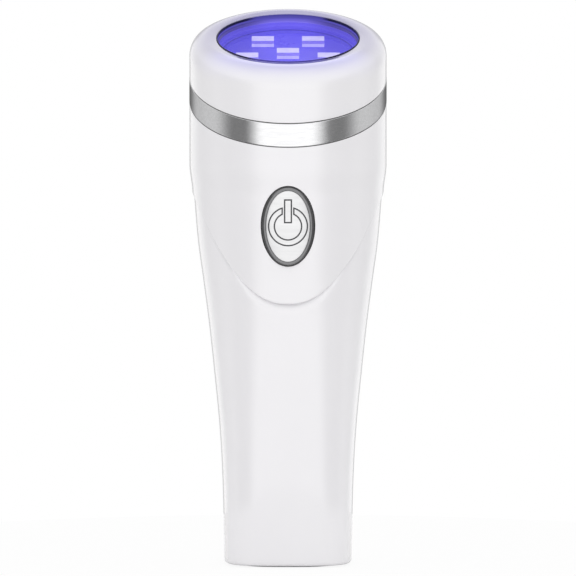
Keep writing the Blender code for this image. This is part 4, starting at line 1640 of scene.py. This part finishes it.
@dataclass
class HandleShells:
    """Front and rear shell of the handle, and its foot."""

    form: HandleForm
    wall: float = 2.0 * MM
    bottom: float = 0.4 * MM
    foot_edge: float = 0.8 * MM
    seam: float = 0.12 * MM
    top_gap: float = 0.03 * MM
    groove_height: float = 3.2 * MM
    groove_depth: float = 1.0 * MM
    groove_steps: int = 14
    groove_curve: int = 3
    groove_reach: int = 4
    door_half_width: float = 10.2 * MM
    door_low: float = 9.0 * MM
    door_length: float = 46.0 * MM
    door_corner: float = 3.0 * MM
    door_wall: float = 1.6 * MM
    door_gap: float = 0.2 * MM
    screw_level: float = 70.0 * MM
    screw_spread: float = 7.0 * MM
    screw_sunk: float = 0.4 * MM
    screw_head: float = 1.9 * MM
    screw_head_height: float = 1.3 * MM
    screw_radius: float = 1.0 * MM
    fit: float = 0.3 * MM
    plate_thick: float = 2.4 * MM
    plate_round: float = 0.3 * MM
    pad_share: float = 0.74
    pad_round: float = 0.1 * MM
    pad_fit: float = 0.05 * MM
    cut_reach: float = 60.0 * MM
    door_cut: Span = (5.0 * MM, 30.0 * MM)
    hole_reach: float = 2.0 * MM
    foot_steps: int = 6
    corner_steps: int = 12
    rod_points: int = 48
    levels: int = 60
    inner_levels: int = 12
    count: int = 256

    def ring(self, share: float, inset: float, lift: float = 0.0, drop: float = 0.0) -> Ring:
        """A ring between the foot and the shield's line.

        Args:
            share: Its share of the way up.
            inset: How far it is set in.
            lift: How far its low end lies above the handle's foot.
            drop: How far its high end lies below the shield's line.

        Returns:
            The ring.
        """
        points = []
        for a in turns(self.count):
            high = self.form.shield_edge(a) - self.top_gap - drop
            low = self.bottom + lift
            height = low + (high - low) * share
            points.append(self.form.point(self.form.handle_section(height), a, height, inset))
        return points

    def groove_ring(self, share: float) -> Ring:
        """A ring of the hollow that runs in under the shield, deepest at the front.

        Args:
            share: Its share of the way up the hollow.

        Returns:
            The ring.
        """
        points = []
        for a in turns(self.count):
            height = self.form.shield_edge(a) - self.top_gap - self.groove_height * (1.0 - share)
            front = max(0.0, -math.sin(a))
            inset = self.groove_depth * share ** self.groove_curve * front ** self.groove_reach
            points.append(self.form.point(self.form.handle_section(height), a, height, inset))
        return points

    def tube(self, name: str, wall: float) -> bpy.types.Object:
        """The whole wall of the handle, rounded at the foot.

        Args:
            name: The piece's name.
            wall: The wall's thickness.

        Returns:
            The wall.
        """
        edge = self.foot_edge
        shares = quarter_round(self.foot_steps)[:-1]
        foot = [self.ring(0.0, edge * inset, edge * rise) for inset, rise in shares]
        outer = [self.ring(i / self.levels, 0.0, edge, self.groove_height) for i in range(self.levels + 1)]
        groove = [self.groove_ring(i / self.groove_steps) for i in range(1, self.groove_steps + 1)]
        inner = [self.ring(i / self.inner_levels, wall) for i in range(self.inner_levels, -1, -1)]
        return skin_rings(name, foot + outer + groove + inner, loop=True, sharp=MOULDED_ANGLE)

    def half_block(self, side: float) -> bpy.types.Object:
        """A block over everything in front of, or behind, the seam."""
        reach, middle = self.cut_reach, 0.5 * side * (self.cut_reach + self.seam)
        return block("half", (2 * reach, reach, 4 * reach), (0.0, middle, reach), 0.0)

    def door_block(self, grow: float) -> bpy.types.Object:
        """Rounded upright prism through the back wall.

        Args:
            grow: How far it stands out from the door's own outline.

        Returns:
            The prism.
        """
        half, corner = self.door_half_width + grow, self.door_corner + grow
        low, high = self.door_low - grow, self.door_low + self.door_length + grow
        centres = [(half - corner, high - corner), (corner - half, high - corner),
                   (corner - half, low + corner), (half - corner, low + corner)]
        outline = []
        for quarter, (x, z) in enumerate(centres):
            for i in range(self.corner_steps + 1):
                turn = 0.5 * math.pi * (quarter + i / self.corner_steps)
                outline.append((x + corner * math.cos(turn), z + corner * math.sin(turn)))
        return skin_rings("prism", [[Vector((x, y, z)) for x, z in outline] for y in self.door_cut])

    def rod(self, radius: float, start: float, end: float, x: float, z: float) -> bpy.types.Object:
        """A round bar from front to back.

        Args:
            radius: Its radius.
            start: Where it starts, along Y.
            end: Where it ends.
            x: Its place to the right.
            z: Its height.

        Returns:
            The bar.
        """
        around = [(x + radius * math.cos(a), z + radius * math.sin(a)) for a in turns(self.rod_points)]
        rings = [[Vector((px, y, pz)) for px, pz in around] for y in (start, end)]
        return skin_rings("rod", rings)

    def build_front(self, finish: bpy.types.Material) -> bpy.types.Object:
        """Front shell."""
        shell = combine(self.tube("handle_front", self.wall), self.half_block(-1.0), "INTERSECT")
        return dress(shell, finish, Body.HOUSING, Slot.WHITE, "handle_front_shell")

    def build_rear(self, finish: bpy.types.Material) -> bpy.types.Object:
        """Rear shell with its battery opening and screw holes.

        Args:
            finish: The piece's material.

        Returns:
            The dressed piece.
        """
        shell = combine(self.tube("handle_rear", self.wall), self.half_block(1.0), "INTERSECT")
        combine(shell, self.door_block(self.door_gap), "DIFFERENCE")
        z = self.screw_level
        for x in (-self.screw_spread, self.screw_spread):
            face = self.form.back_at(x, z)
            seat = face - self.screw_sunk - self.screw_head_height
            out = face + self.hole_reach
            combine(shell, self.rod(self.screw_radius + self.fit, 0.0, out, x, z), "DIFFERENCE")
            combine(shell, self.rod(self.screw_head + self.fit, seat, out, x, z), "DIFFERENCE")
        return dress(shell, finish, Body.HOUSING, Slot.WHITE, "handle_rear_shell")

    def foot_ring(self, share: float, inset: float, height: float) -> Ring:
        """A ring of the foot's outline.

        Args:
            share: Its share of the foot's size.
            inset: How far it is set in.
            height: Its height.

        Returns:
            The ring.
        """
        width, depth, square = self.form.handle_section(0.0)
        scaled = (width * share, depth * share, square)
        return [self.form.point(scaled, a, height, inset) for a in turns(ROUND_POINTS)]

    def build_foot(self, cap_finish: bpy.types.Material, pad_finish: bpy.types.Material) -> None:
        """Plate that closes the handle and the pad under it.

        Args:
            cap_finish: The plate's material.
            pad_finish: The pad's material.
        """
        inset, soft, low = self.wall + self.fit, self.plate_round, self.bottom
        levels = [(1.0, inset + soft, low), (1.0, inset, low + soft), (1.0, inset, low + self.plate_thick)]
        cap = skin_rings("foot_plate", [self.foot_ring(*level) for level in levels])
        dress(cap, cap_finish, Body.HOUSING, Slot.WHITE, "foot_cap")
        share, soft = self.pad_share, self.pad_round
        levels = [(share, soft, 0.0), (share, 0.0, soft), (share, 0.0, self.bottom - self.pad_fit)]
        pad = skin_rings("standing_pad", [self.foot_ring(*level) for level in levels])
        dress(pad, pad_finish, Body.HOUSING, Slot.SILICONE, "foot_pad")


def groove_tree(material: bpy.types.Material) -> bpy.types.NodeTree:
    """Geometry Nodes tree that sets level round bars in a row, to be cut out as grip grooves.

    Args:
        material: The finish of the grooves.

    Returns:
        A tree with named inputs for the count, pitch, length, radius and first place.
    """
    tree = bpy.data.node_groups.new("grip_grooves", "GeometryNodeTree")
    tree.interface.new_socket("Geometry", in_out="INPUT", socket_type="NodeSocketGeometry")
    kinds = {"Count": "Int", "Pitch": "Vector", "Start": "Vector", "Length": "Float", "Radius": "Float"}
    for label, kind in kinds.items():
        tree.interface.new_socket(label, in_out="INPUT", socket_type=f"NodeSocket{kind}")
    tree.interface.new_socket("Geometry", in_out="OUTPUT", socket_type="NodeSocketGeometry")
    given, result = tree.nodes.new("NodeGroupInput").outputs, tree.nodes.new("NodeGroupOutput")
    row = add_node(tree, "GeometryNodeMeshLine", Count=given["Count"], Start_Location=given["Start"],
                   Offset=given["Pitch"])
    bar = add_node(tree, "GeometryNodeMeshCylinder", Vertices=GROOVE_POINTS, Radius=given["Radius"],
                   Depth=given["Length"])
    placed = add_node(tree, "GeometryNodeInstanceOnPoints", Points=row.outputs["Mesh"],
                      Instance=bar.outputs["Mesh"], Rotation=(0.0, 0.5 * math.pi, 0.0))
    real = add_node(tree, "GeometryNodeRealizeInstances", Geometry=placed.outputs[0])
    smooth = add_node(tree, "GeometryNodeSetShadeSmooth", Geometry=real.outputs[0])
    finish = add_node(tree, "GeometryNodeSetMaterial", Geometry=smooth.outputs[0], Material=material)
    wire(tree, result, Geometry=finish.outputs[0])
    return tree


def run_tree(name: str, tree: bpy.types.NodeTree, **values: object) -> bpy.types.Object:
    """Run a Geometry Nodes tree on an empty mesh and keep the plain result.

    Args:
        name: The piece's name.
        tree: The tree, which ends in Realize Instances and Set Material.
        values: The tree's inputs by name, with underscores for spaces.

    Returns:
        The piece as a plain mesh.
    """
    item = in_scene(name, bpy.data.meshes.new(name))
    modifier = item.modifiers.new("nodes", "NODES")
    modifier.node_group = tree
    keys = {s.name: s.identifier for s in tree.interface.items_tree if getattr(s, "in_out", "") == "INPUT"}
    for label, value in values.items():
        modifier[keys[label.replace("_", " ")]] = value
    evaluated_mesh(item)
    return item


@dataclass
class BatteryDoor:
    """Back cover of the handle's own curve with a row of grip grooves."""

    shells: HandleShells
    groove_count: int = 4
    groove_pitch: float = 1.6 * MM
    groove_length: float = 9.0 * MM
    groove_radius: float = 0.55 * MM
    groove_depth: float = 0.35 * MM
    groove_drop: float = 5.0 * MM
    edge: float = 0.15 * MM

    def build(self, finish: bpy.types.Material) -> None:
        """Cut the door out of the handle's own wall and cut its grooves.

        Args:
            finish: The door's material.
        """
        shells = self.shells
        door = combine(shells.tube("door_cover", shells.door_wall), shells.door_block(0.0), "INTERSECT")
        soften(door, self.edge)
        top = shells.door_low + shells.door_length - self.groove_drop
        low = top - self.groove_pitch * (self.groove_count - 1)
        back_top, back_low = shells.form.back_at(0.0, top), shells.form.back_at(0.0, low)
        lean = (back_low - back_top) / (self.groove_count - 1)
        out = self.groove_radius - self.groove_depth
        bars = run_tree("door_grooves", groove_tree(finish), Count=self.groove_count,
                        Pitch=(0.0, lean, -self.groove_pitch), Start=(0.0, back_top + out, top),
                        Length=self.groove_length, Radius=self.groove_radius)
        combine(door, bars, "DIFFERENCE")
        dress(door, finish, Body.DOOR, Slot.WHITE, "battery_door")


@dataclass
class SunkScrews:
    """Two domed screws with crossed slots, sunk in the rear shell."""

    shells: HandleShells
    dome: float = 0.3 * MM
    length: float = 5.0 * MM
    slot_half: float = 1.1 * MM
    slot_width: float = 0.4 * MM
    slot_depth: float = 0.45 * MM
    seat: float = 0.05 * MM
    dome_steps: int = 12
    count: int = 64

    def build(self, finish: bpy.types.Material) -> None:
        """Turn each screw about a line from front to back and cut its slots.

        Args:
            finish: The screws' material.
        """
        shells, level = self.shells, self.shells.screw_level
        radius, stem, base = shells.screw_head, shells.screw_radius, self.seat - shells.screw_head_height
        profile = [(stem, base - self.length), (stem, base), (radius, base)]
        profile += [(radius * out, self.dome * (up - 1.0)) for out, up in dome_shares(self.dome_steps)]
        for number, x in enumerate((-shells.screw_spread, shells.screw_spread), start=1):
            face = shells.form.back_at(x, level) - shells.screw_sunk
            place = Matrix.Translation((x, face, level)) @ Matrix.Rotation(-0.5 * math.pi, 4, "X")
            screw = turned_piece(f"sunk_screw_{number}", profile, place, count=self.count)
            for turn in (0.25 * math.pi, 0.75 * math.pi):
                size = (2 * self.slot_half, self.slot_width, 2 * self.slot_depth)
                slot = block("slot", size, (0.0, 0.0, 0.0), 0.0)
                slot.data.transform(place @ Matrix.Rotation(turn, 4, "Z"))
                combine(screw, slot, "DIFFERENCE")
            dress(screw, finish, Body.HOUSING, Slot.STEEL, f"shell_screw_{number}")


@dataclass
class BatteryCells:
    """Two cells in the tray, nub up and nub down, and the coils that press on them."""

    radius: float = 5.2 * MM
    length: float = 43.6 * MM
    nub_radius: float = 1.9 * MM
    nub_height: float = 0.9 * MM
    spread: float = 5.5 * MM
    depth: float = 2.5 * MM
    low: float = 13.5 * MM
    middle: float = 33.35 * MM
    sleeve_wall: float = 0.1 * MM
    sleeve_lip: float = 0.8 * MM
    sleeve_round: float = 0.35 * MM
    round_steps: int = 6
    can_gap: float = 0.15 * MM
    can_round: float = 0.2 * MM
    band_low: float = 34.0 * MM
    band_high: float = 41.8 * MM
    print_thick: float = 0.02 * MM
    print_sunk: float = 0.015 * MM
    count: int = 96
    coil_radius: float = 2.8 * MM
    coil_length: float = 4.75 * MM
    coil_turns: int = 3
    coil_steps: int = 40
    wire: float = 0.3 * MM
    wire_points: int = 12
    seat: float = 0.05 * MM

    def place(self, index: int) -> Matrix:
        """Where a cell's flat end stands; the second cell is turned over.

        Args:
            index: Which cell, 0 or 1.

        Returns:
            The placement.
        """
        x = self.spread * (2 * index - 1)
        if index == 0:
            return Matrix.Translation((x, self.depth, self.low))
        turn = Matrix.Translation((x, self.depth, self.middle)) @ Matrix.Rotation(math.pi, 4, "X")
        return turn @ Matrix.Translation((0.0, 0.0, self.low - self.middle))

    def build_sleeve(self, index: int, finish: bpy.types.Material) -> bpy.types.Object:
        """Shrunk sleeve, rolled over both ends.

        Args:
            index: Which cell, 0 or 1.
            finish: The piece's material.

        Returns:
            The dressed piece.
        """
        wall, edge, end = self.sleeve_wall, self.sleeve_round, self.length
        outer = self.radius - self.print_thick
        mouth, inner = outer - self.sleeve_lip, outer - wall
        over = [(outer - edge * inset, edge * rise) for inset, rise in quarter_round(self.round_steps)]
        profile = [(mouth, 0.0)] + over + [(r, end - h) for r, h in reversed(over)] + [(mouth, end)]
        profile += [(mouth, end - wall), (inner - edge, end - wall), (inner, end - edge), (inner, edge),
                    (inner - edge, wall), (mouth, wall)]
        name = f"cell_sleeve_{index + 1}"
        sleeve = turned_piece(name, profile, self.place(index), loop=True, count=self.count)
        return dress(sleeve, finish, Body.HOUSING, Slot.CELL, f"battery_{index + 1}")

    def build_can(self, index: int, finish: bpy.types.Material) -> bpy.types.Object:
        """Plated can with its nub, inside the sleeve.

        Args:
            index: Which cell, 0 or 1.
            finish: The piece's material.

        Returns:
            The dressed piece.
        """
        gap, soft, nub = self.can_gap, self.can_round, self.nub_radius
        side = self.radius - self.print_thick - gap
        low, high, tip = gap, self.length - gap, self.length + self.nub_height
        profile = [(side - 2 * soft, low), (side, low + 2 * soft), (side, high - 2 * soft),
                   (side - 2 * soft, high), (nub + 2 * soft, high), (nub, high + 2 * soft),
                   (nub, tip - soft), (nub - soft, tip)]
        can = turned_piece(f"cell_can_{index + 1}", profile, self.place(index), count=self.count)
        return dress(can, finish, Body.HOUSING, Slot.STEEL)

    def build_print(self, index: int, finish: bpy.types.Material) -> bpy.types.Object:
        """Pale printed band near the nub.

        Args:
            index: Which cell, 0 or 1.
            finish: The piece's material.

        Returns:
            The dressed piece.
        """
        outer, inner = self.radius, self.radius - self.print_sunk
        low, high = self.band_low, self.band_high
        profile = [(outer, low), (outer, high), (inner, high), (inner, low)]
        name = f"cell_band_{index + 1}"
        band = turned_piece(name, profile, self.place(index), loop=True, count=self.count)
        return dress(band, finish, Body.HOUSING, Slot.CELL)

    def build_coil(self, index: int, finish: bpy.types.Material) -> bpy.types.Object:
        """Short coil between the cell's flat end and the contact.

        Args:
            index: Which cell, 0 or 1.
            finish: The piece's material.

        Returns:
            The dressed piece.
        """
        count = self.coil_turns * self.coil_steps
        start = self.wire - self.coil_length - self.seat
        rise = self.coil_length - 2.0 * self.wire
        rings = []
        for i in range(count + 1):
            turn = 2.0 * math.pi * i / self.coil_steps
            out = Vector((math.cos(turn), math.sin(turn), 0.0))
            centre = out * self.coil_radius + Vector((0.0, 0.0, start + rise * i / count))
            around = [(self.wire * math.cos(a), self.wire * math.sin(a)) for a in turns(self.wire_points)]
            rings.append([centre + out * away + Vector((0.0, 0.0, up)) for away, up in around])
        coil = skin_rings(f"cell_coil_{index + 1}", rings)
        coil.data.transform(self.place(index))
        return dress(coil, finish, Body.HOUSING, Slot.STEEL, f"contact_spring_{index + 1}")

    def build(self, sleeve: bpy.types.Material, steel: bpy.types.Material,
              band: bpy.types.Material) -> None:
        """Build both cells and coils.

        Args:
            sleeve: The sleeves' finish.
            steel: The finish of cans and coils.
            band: The finish of the printed bands.
        """
        for index in (0, 1):
            self.build_sleeve(index, sleeve)
            self.build_can(index, steel)
            self.build_print(index, band)
            self.build_coil(index, steel)


# The stage


def seen_by_camera(tree: bpy.types.NodeTree) -> bpy.types.NodeSocket:
    """1 where the camera looks, straight or through a clear piece, and 0 elsewhere."""
    path = tree.nodes.new("ShaderNodeLightPath")
    return add_math(tree, "MAXIMUM", path.outputs["Is Camera Ray"], path.outputs["Is Transmission Ray"])


@dataclass
class Studio:
    """Plain pale floor, soft light and the camera of the photograph."""

    view_height: float = 64.5 * MM
    elevation: float = math.radians(4.0)
    distance: float = 3.0
    frame_width: float = 134.5 * MM
    view_reach: float = 50.0
    sensor: float = 36.0
    floor_radius: float = 0.13
    floor_points: int = 96
    floor_white: Colour = (0.92, 0.92, 0.92)
    floor_roughness: float = 0.9
    floor_glow: float = 0.9
    band_levels: tuple[Span, ...] = ((0.0, 1.33), (28.0, 1.33), (52.0, 0.24), (66.0, 0.24), (96.0, 0.72),
                                     (120.0, 0.75), (145.0, 1.1), (156.0, 1.1), (166.0, 0.6), (180.0, 0.6))
    sky_steps: tuple[tuple[float, float, float], ...] = ((14.0, 30.0, 1.14), (48.0, 75.0, 0.6))
    lamp_place: tuple[float, float, float] = (0.0, -0.5, 1.6)
    lamp_size: float = 0.9
    lamp_power: float = 0.8

    def camera(self) -> None:
        """Long lens, nearly level, square on to the button."""
        data = bpy.data.cameras.new("photo_view")
        data.sensor_width = self.sensor
        data.lens = self.sensor * self.distance / self.frame_width
        data.clip_end = self.view_reach
        item = in_scene("photo_view", data)
        reach = Vector((0.0, -math.cos(self.elevation), math.sin(self.elevation))) * self.distance
        item.location = Vector((0.0, 0.0, self.view_height)) + reach
        item.rotation_euler = (math.radians(90.0) - self.elevation, 0.0, 0.0)
        bpy.context.scene.camera = item

    def floor(self) -> None:
        """Pale floor that shows white to the camera and keeps a soft shadow."""
        mesh = bpy.data.meshes.new("floor")
        rim = [tuple(p) for p in flat_circle(self.floor_radius, 0.0, self.floor_points)]
        mesh.from_pydata(rim, [], [tuple(range(len(rim)))])
        item = in_scene("floor", mesh)
        material = bpy.data.materials.new("pale floor")
        material.use_nodes = True
        tree = material.node_tree
        shader = tree.nodes["Principled BSDF"]
        wire(tree, shader, Base_Color=self.floor_white, Roughness=self.floor_roughness,
             Specular_IOR_Level=0.0)
        glow = tree.nodes.new("ShaderNodeEmission")
        share = add_math(tree, "MULTIPLY", seen_by_camera(tree), self.floor_glow)
        mix = add_node(tree, "ShaderNodeMixShader", Fac=share)
        feed(tree, mix.inputs[1], shader.outputs[0])
        feed(tree, mix.inputs[2], glow.outputs[0])
        wire(tree, tree.nodes["Material Output"], Surface=mix.outputs[0])
        mesh.materials.append(material)

    def bands(self, tree: bpy.types.NodeTree, direction: bpy.types.NodeSocket) -> bpy.types.NodeSocket:
        """Brightness of the low walls round the studio, by the turn away from the front, and of the sky.

        Args:
            tree: The world's tree.
            direction: Where a ray leaves to.

        Returns:
            The brightness, as a grey colour.
        """
        x, y, z = add_node(tree, "ShaderNodeSeparateXYZ", Vector=direction).outputs
        front = add_math(tree, "MULTIPLY", y, -1.0)
        turned = add_math(tree, "ARCTAN2", add_math(tree, "ABSOLUTE", x), front)
        stops = [(turn / 180.0, (level,) * 3) for turn, level in self.band_levels]
        light = add_ramp(tree, add_math(tree, "DIVIDE", turned, math.pi), stops, "EASE")
        for start, full, level in self.sky_steps:
            rise = add_span(tree, z, math.sin(math.radians(start)), math.sin(math.radians(full)))
            light = add_mix(tree, rise, light, (level,) * 3)
        return light

    def world(self) -> None:
        """Low walls in bright and dark bands under an even pale sky; white to the camera."""
        world = bpy.data.worlds.new("studio")
        bpy.context.scene.world = world
        world.use_nodes = True
        tree = world.node_tree
        light = self.bands(tree, add_node(tree, "ShaderNodeTexCoord").outputs["Generated"])
        colour = add_mix(tree, seen_by_camera(tree), light, (1.0, 1.0, 1.0))
        wire(tree, tree.nodes["Background"], Color=colour, Strength=1.0)

    def lamp(self, name: str) -> None:
        """A soft square lamp aimed at the middle of the device.

        Args:
            name: The lamp's name.
        """
        data = bpy.data.lights.new(name, "AREA")
        data.shape = "SQUARE"
        data.size = self.lamp_size
        data.energy = self.lamp_power
        item = in_scene(name, data)
        place = Vector(self.lamp_place)
        item.location = place
        aim = Vector((0.0, 0.0, self.view_height)) - place
        item.rotation_euler = aim.to_track_quat("-Z", "Y").to_euler()

    def build(self) -> None:
        """Set the whole stage."""
        self.camera()
        self.floor()
        self.world()
        self.lamp("top lamp")
        bpy.context.scene.view_settings.view_transform = "Standard"


@dataclass
class Finishes:
    """All the finishes of the device."""

    head: HeadForm
    made: dict[str, bpy.types.Material] = field(default_factory=dict)

    def get(self, name: str) -> bpy.types.Material:
        """Return a finish, made on first use.

        Args:
            name: Its name among the recipes.

        Returns:
            The material.
        """
        if name not in self.made:
            self.made[name] = self.recipes()[name].build()
        return self.made[name]

    def recipes(self) -> dict[str, Finish]:
        """Every finish by name.

        Returns:
            The recipes, not yet built.
        """
        head = self.head
        well = {"glow_height": head.height, "glow_tilt": head.tilt}
        # The ledge and groove steps darken the painted glow in a thin band at the cup's ledge: a painted
        # shade line.
        ledge, groove, plain = (0.09, 0.068, 0.64), (0.03, 0.02, 0.34), (0.1, 0.078, 0.7)
        cup_steps = ((4.2 * MM, (0.1, 0.078, 0.68)), (3.92 * MM, ledge), (3.87 * MM, groove),
                     (3.76 * MM, groove), (3.71 * MM, (0.1, 0.078, 0.66)), (3.0 * MM, (0.16, 0.13, 0.78)))
        return {
            "cap": GlossPlastic("cap_white", **well),
            "white": GlossPlastic("shell_white"),
            "band": PolishedMetal("band_chrome", edge_shade=0.7, edge_tint=0.25),
            "band_line": SoftMatt("band_gap_painted_shade", (0.1, 0.1, 0.1), 0.5),
            "rim": PolishedMetal("rim_dark_chrome", (0.2, 0.2, 0.205), (0.12, 0.22)),
            "key": PolishedMetal("key_silver", (0.72, 0.72, 0.725), (0.28, 0.36), line_scale=1200.0),
            "sign": SoftMatt("sign_grey", (0.05, 0.05, 0.055), 0.45),
            "steel": PolishedMetal("contact_steel", (0.55, 0.55, 0.56), (0.25, 0.4)),
            "sink": PolishedMetal("sink_aluminium", (0.6, 0.6, 0.62), (0.3, 0.45)),
            # The lip's glow drops to near black at its sides near the top, as painted dark reflections over a
            # painted glow lower down.
            "lip": PaintedWellGlow("lip_painted_glow", ((1.0 * MM, (0.1, 0.085, 0.47)), (0.1 * MM, (0.06, 0.05, 0.29))),
                          (0.01, 0.01, 0.02), low_depth=1.0 * MM, high_depth=-0.5 * MM,
                          middle_light=1.0, side_light=0.08,
                          fade_start=7.0 * MM, fade_end=10.0 * MM, fade_depth=0.5 * MM, **well),
            "seal": PaintedWellGlow("seal_painted_glow", ((1.9 * MM, (0.24, 0.2, 0.86)), (1.0 * MM, (0.1, 0.085, 0.48))),
                           (0.03, 0.02, 0.12), side_light=0.4, **well),
            "window": WindowClear("window_clear"),
            "cup": PaintedWellGlow("cup_painted_glow", cup_steps, **well),
            "board": PaintedWellGlow("board_painted_glow", ((4.2 * MM, plain), (1.0 * MM, plain)), **well),
            "package": Emitter("source_side", (0.5, 0.46, 1.0), strength=0.97),
            "lit": Emitter("source_bright", (0.64, 0.6, 1.0), strength=0.82),
            "dim": Emitter("source_dim", (0.17, 0.125, 0.83), strength=0.88),
            "seat": SoftMatt("rim_seat_painted_shade", (0.035, 0.035, 0.037), 0.5),
            "silicone": SoftMatt("silicone_grey", (0.55, 0.55, 0.57), 0.7),
            "inner": SoftMatt("inner_white", (0.75, 0.75, 0.77), 0.5),
            "black": SoftMatt("switch_black", (0.04, 0.04, 0.045), 0.45),
            "green": SoftMatt("board_green", (0.03, 0.16, 0.08), 0.35),
            "cell": GlossPlastic("cell_sleeve", (0.075, 0.082, 0.1), (0.068, 0.075, 0.092), (0.2, 0.3)),
            "cell_band": GlossPlastic("cell_band_silver", (0.5, 0.51, 0.53), (0.47, 0.48, 0.5), (0.2, 0.3)),
        }


KEPT_NODES = {
    "heat_sink": "sink", "neck_liner": "inner",
    "button_pad": "silicone", "switch_plunger": "black", "tact_switch": "black", "control_board": "green",
    "battery_tray": "inner", "contact_plate_1": "steel", "contact_plate_2": "steel",
    "contact_plate_3": "steel", "contact_plate_4": "steel",
}


def main() -> None:
    """Build every piece in order and set the stage."""
    logging.basicConfig(level=logging.INFO, format="%(name)s %(message)s")
    form = HandleForm()
    head = HeadForm(form.head_radius)
    finishes = Finishes(head)
    Studio().build()
    HeadCap(head).build(finishes.get("cap"))
    band = BrightBand(head)
    band.build(finishes.get("band"))
    band.build_lines(finishes.get("band_line"))
    engine = LightEngine(head)
    engine.build_lip(finishes.get("lip"))
    engine.build_seal(finishes.get("seal"))
    engine.build_window(finishes.get("window"))
    engine.build_cup(finishes.get("cup"))
    engine.build_board(finishes.get("board"))
    engine.build_sources(finishes.get("package"), finishes.get("lit"), finishes.get("dim"))
    key = PowerKey(form)
    UpperHousing(form, head).build(finishes.get("white"), key)
    key.build_rim(finishes.get("rim"))
    key.build_seat(finishes.get("seat"))
    key.build_key(finishes.get("key"))
    key.build_sign(finishes.get("sign"))
    shells = HandleShells(form)
    shells.build_front(finishes.get("white"))
    shells.build_rear(finishes.get("white"))
    shells.build_foot(finishes.get("white"), finishes.get("silicone"))
    BatteryDoor(shells).build(finishes.get("white"))
    SunkScrews(shells).build(finishes.get("steel"))
    BatteryCells().build(finishes.get("cell"), finishes.get("steel"), finishes.get("cell_band"))
    for node, name in KEPT_NODES.items():
        dress_node(node, finishes.get(name))


if __name__ == "__main__":
    main()
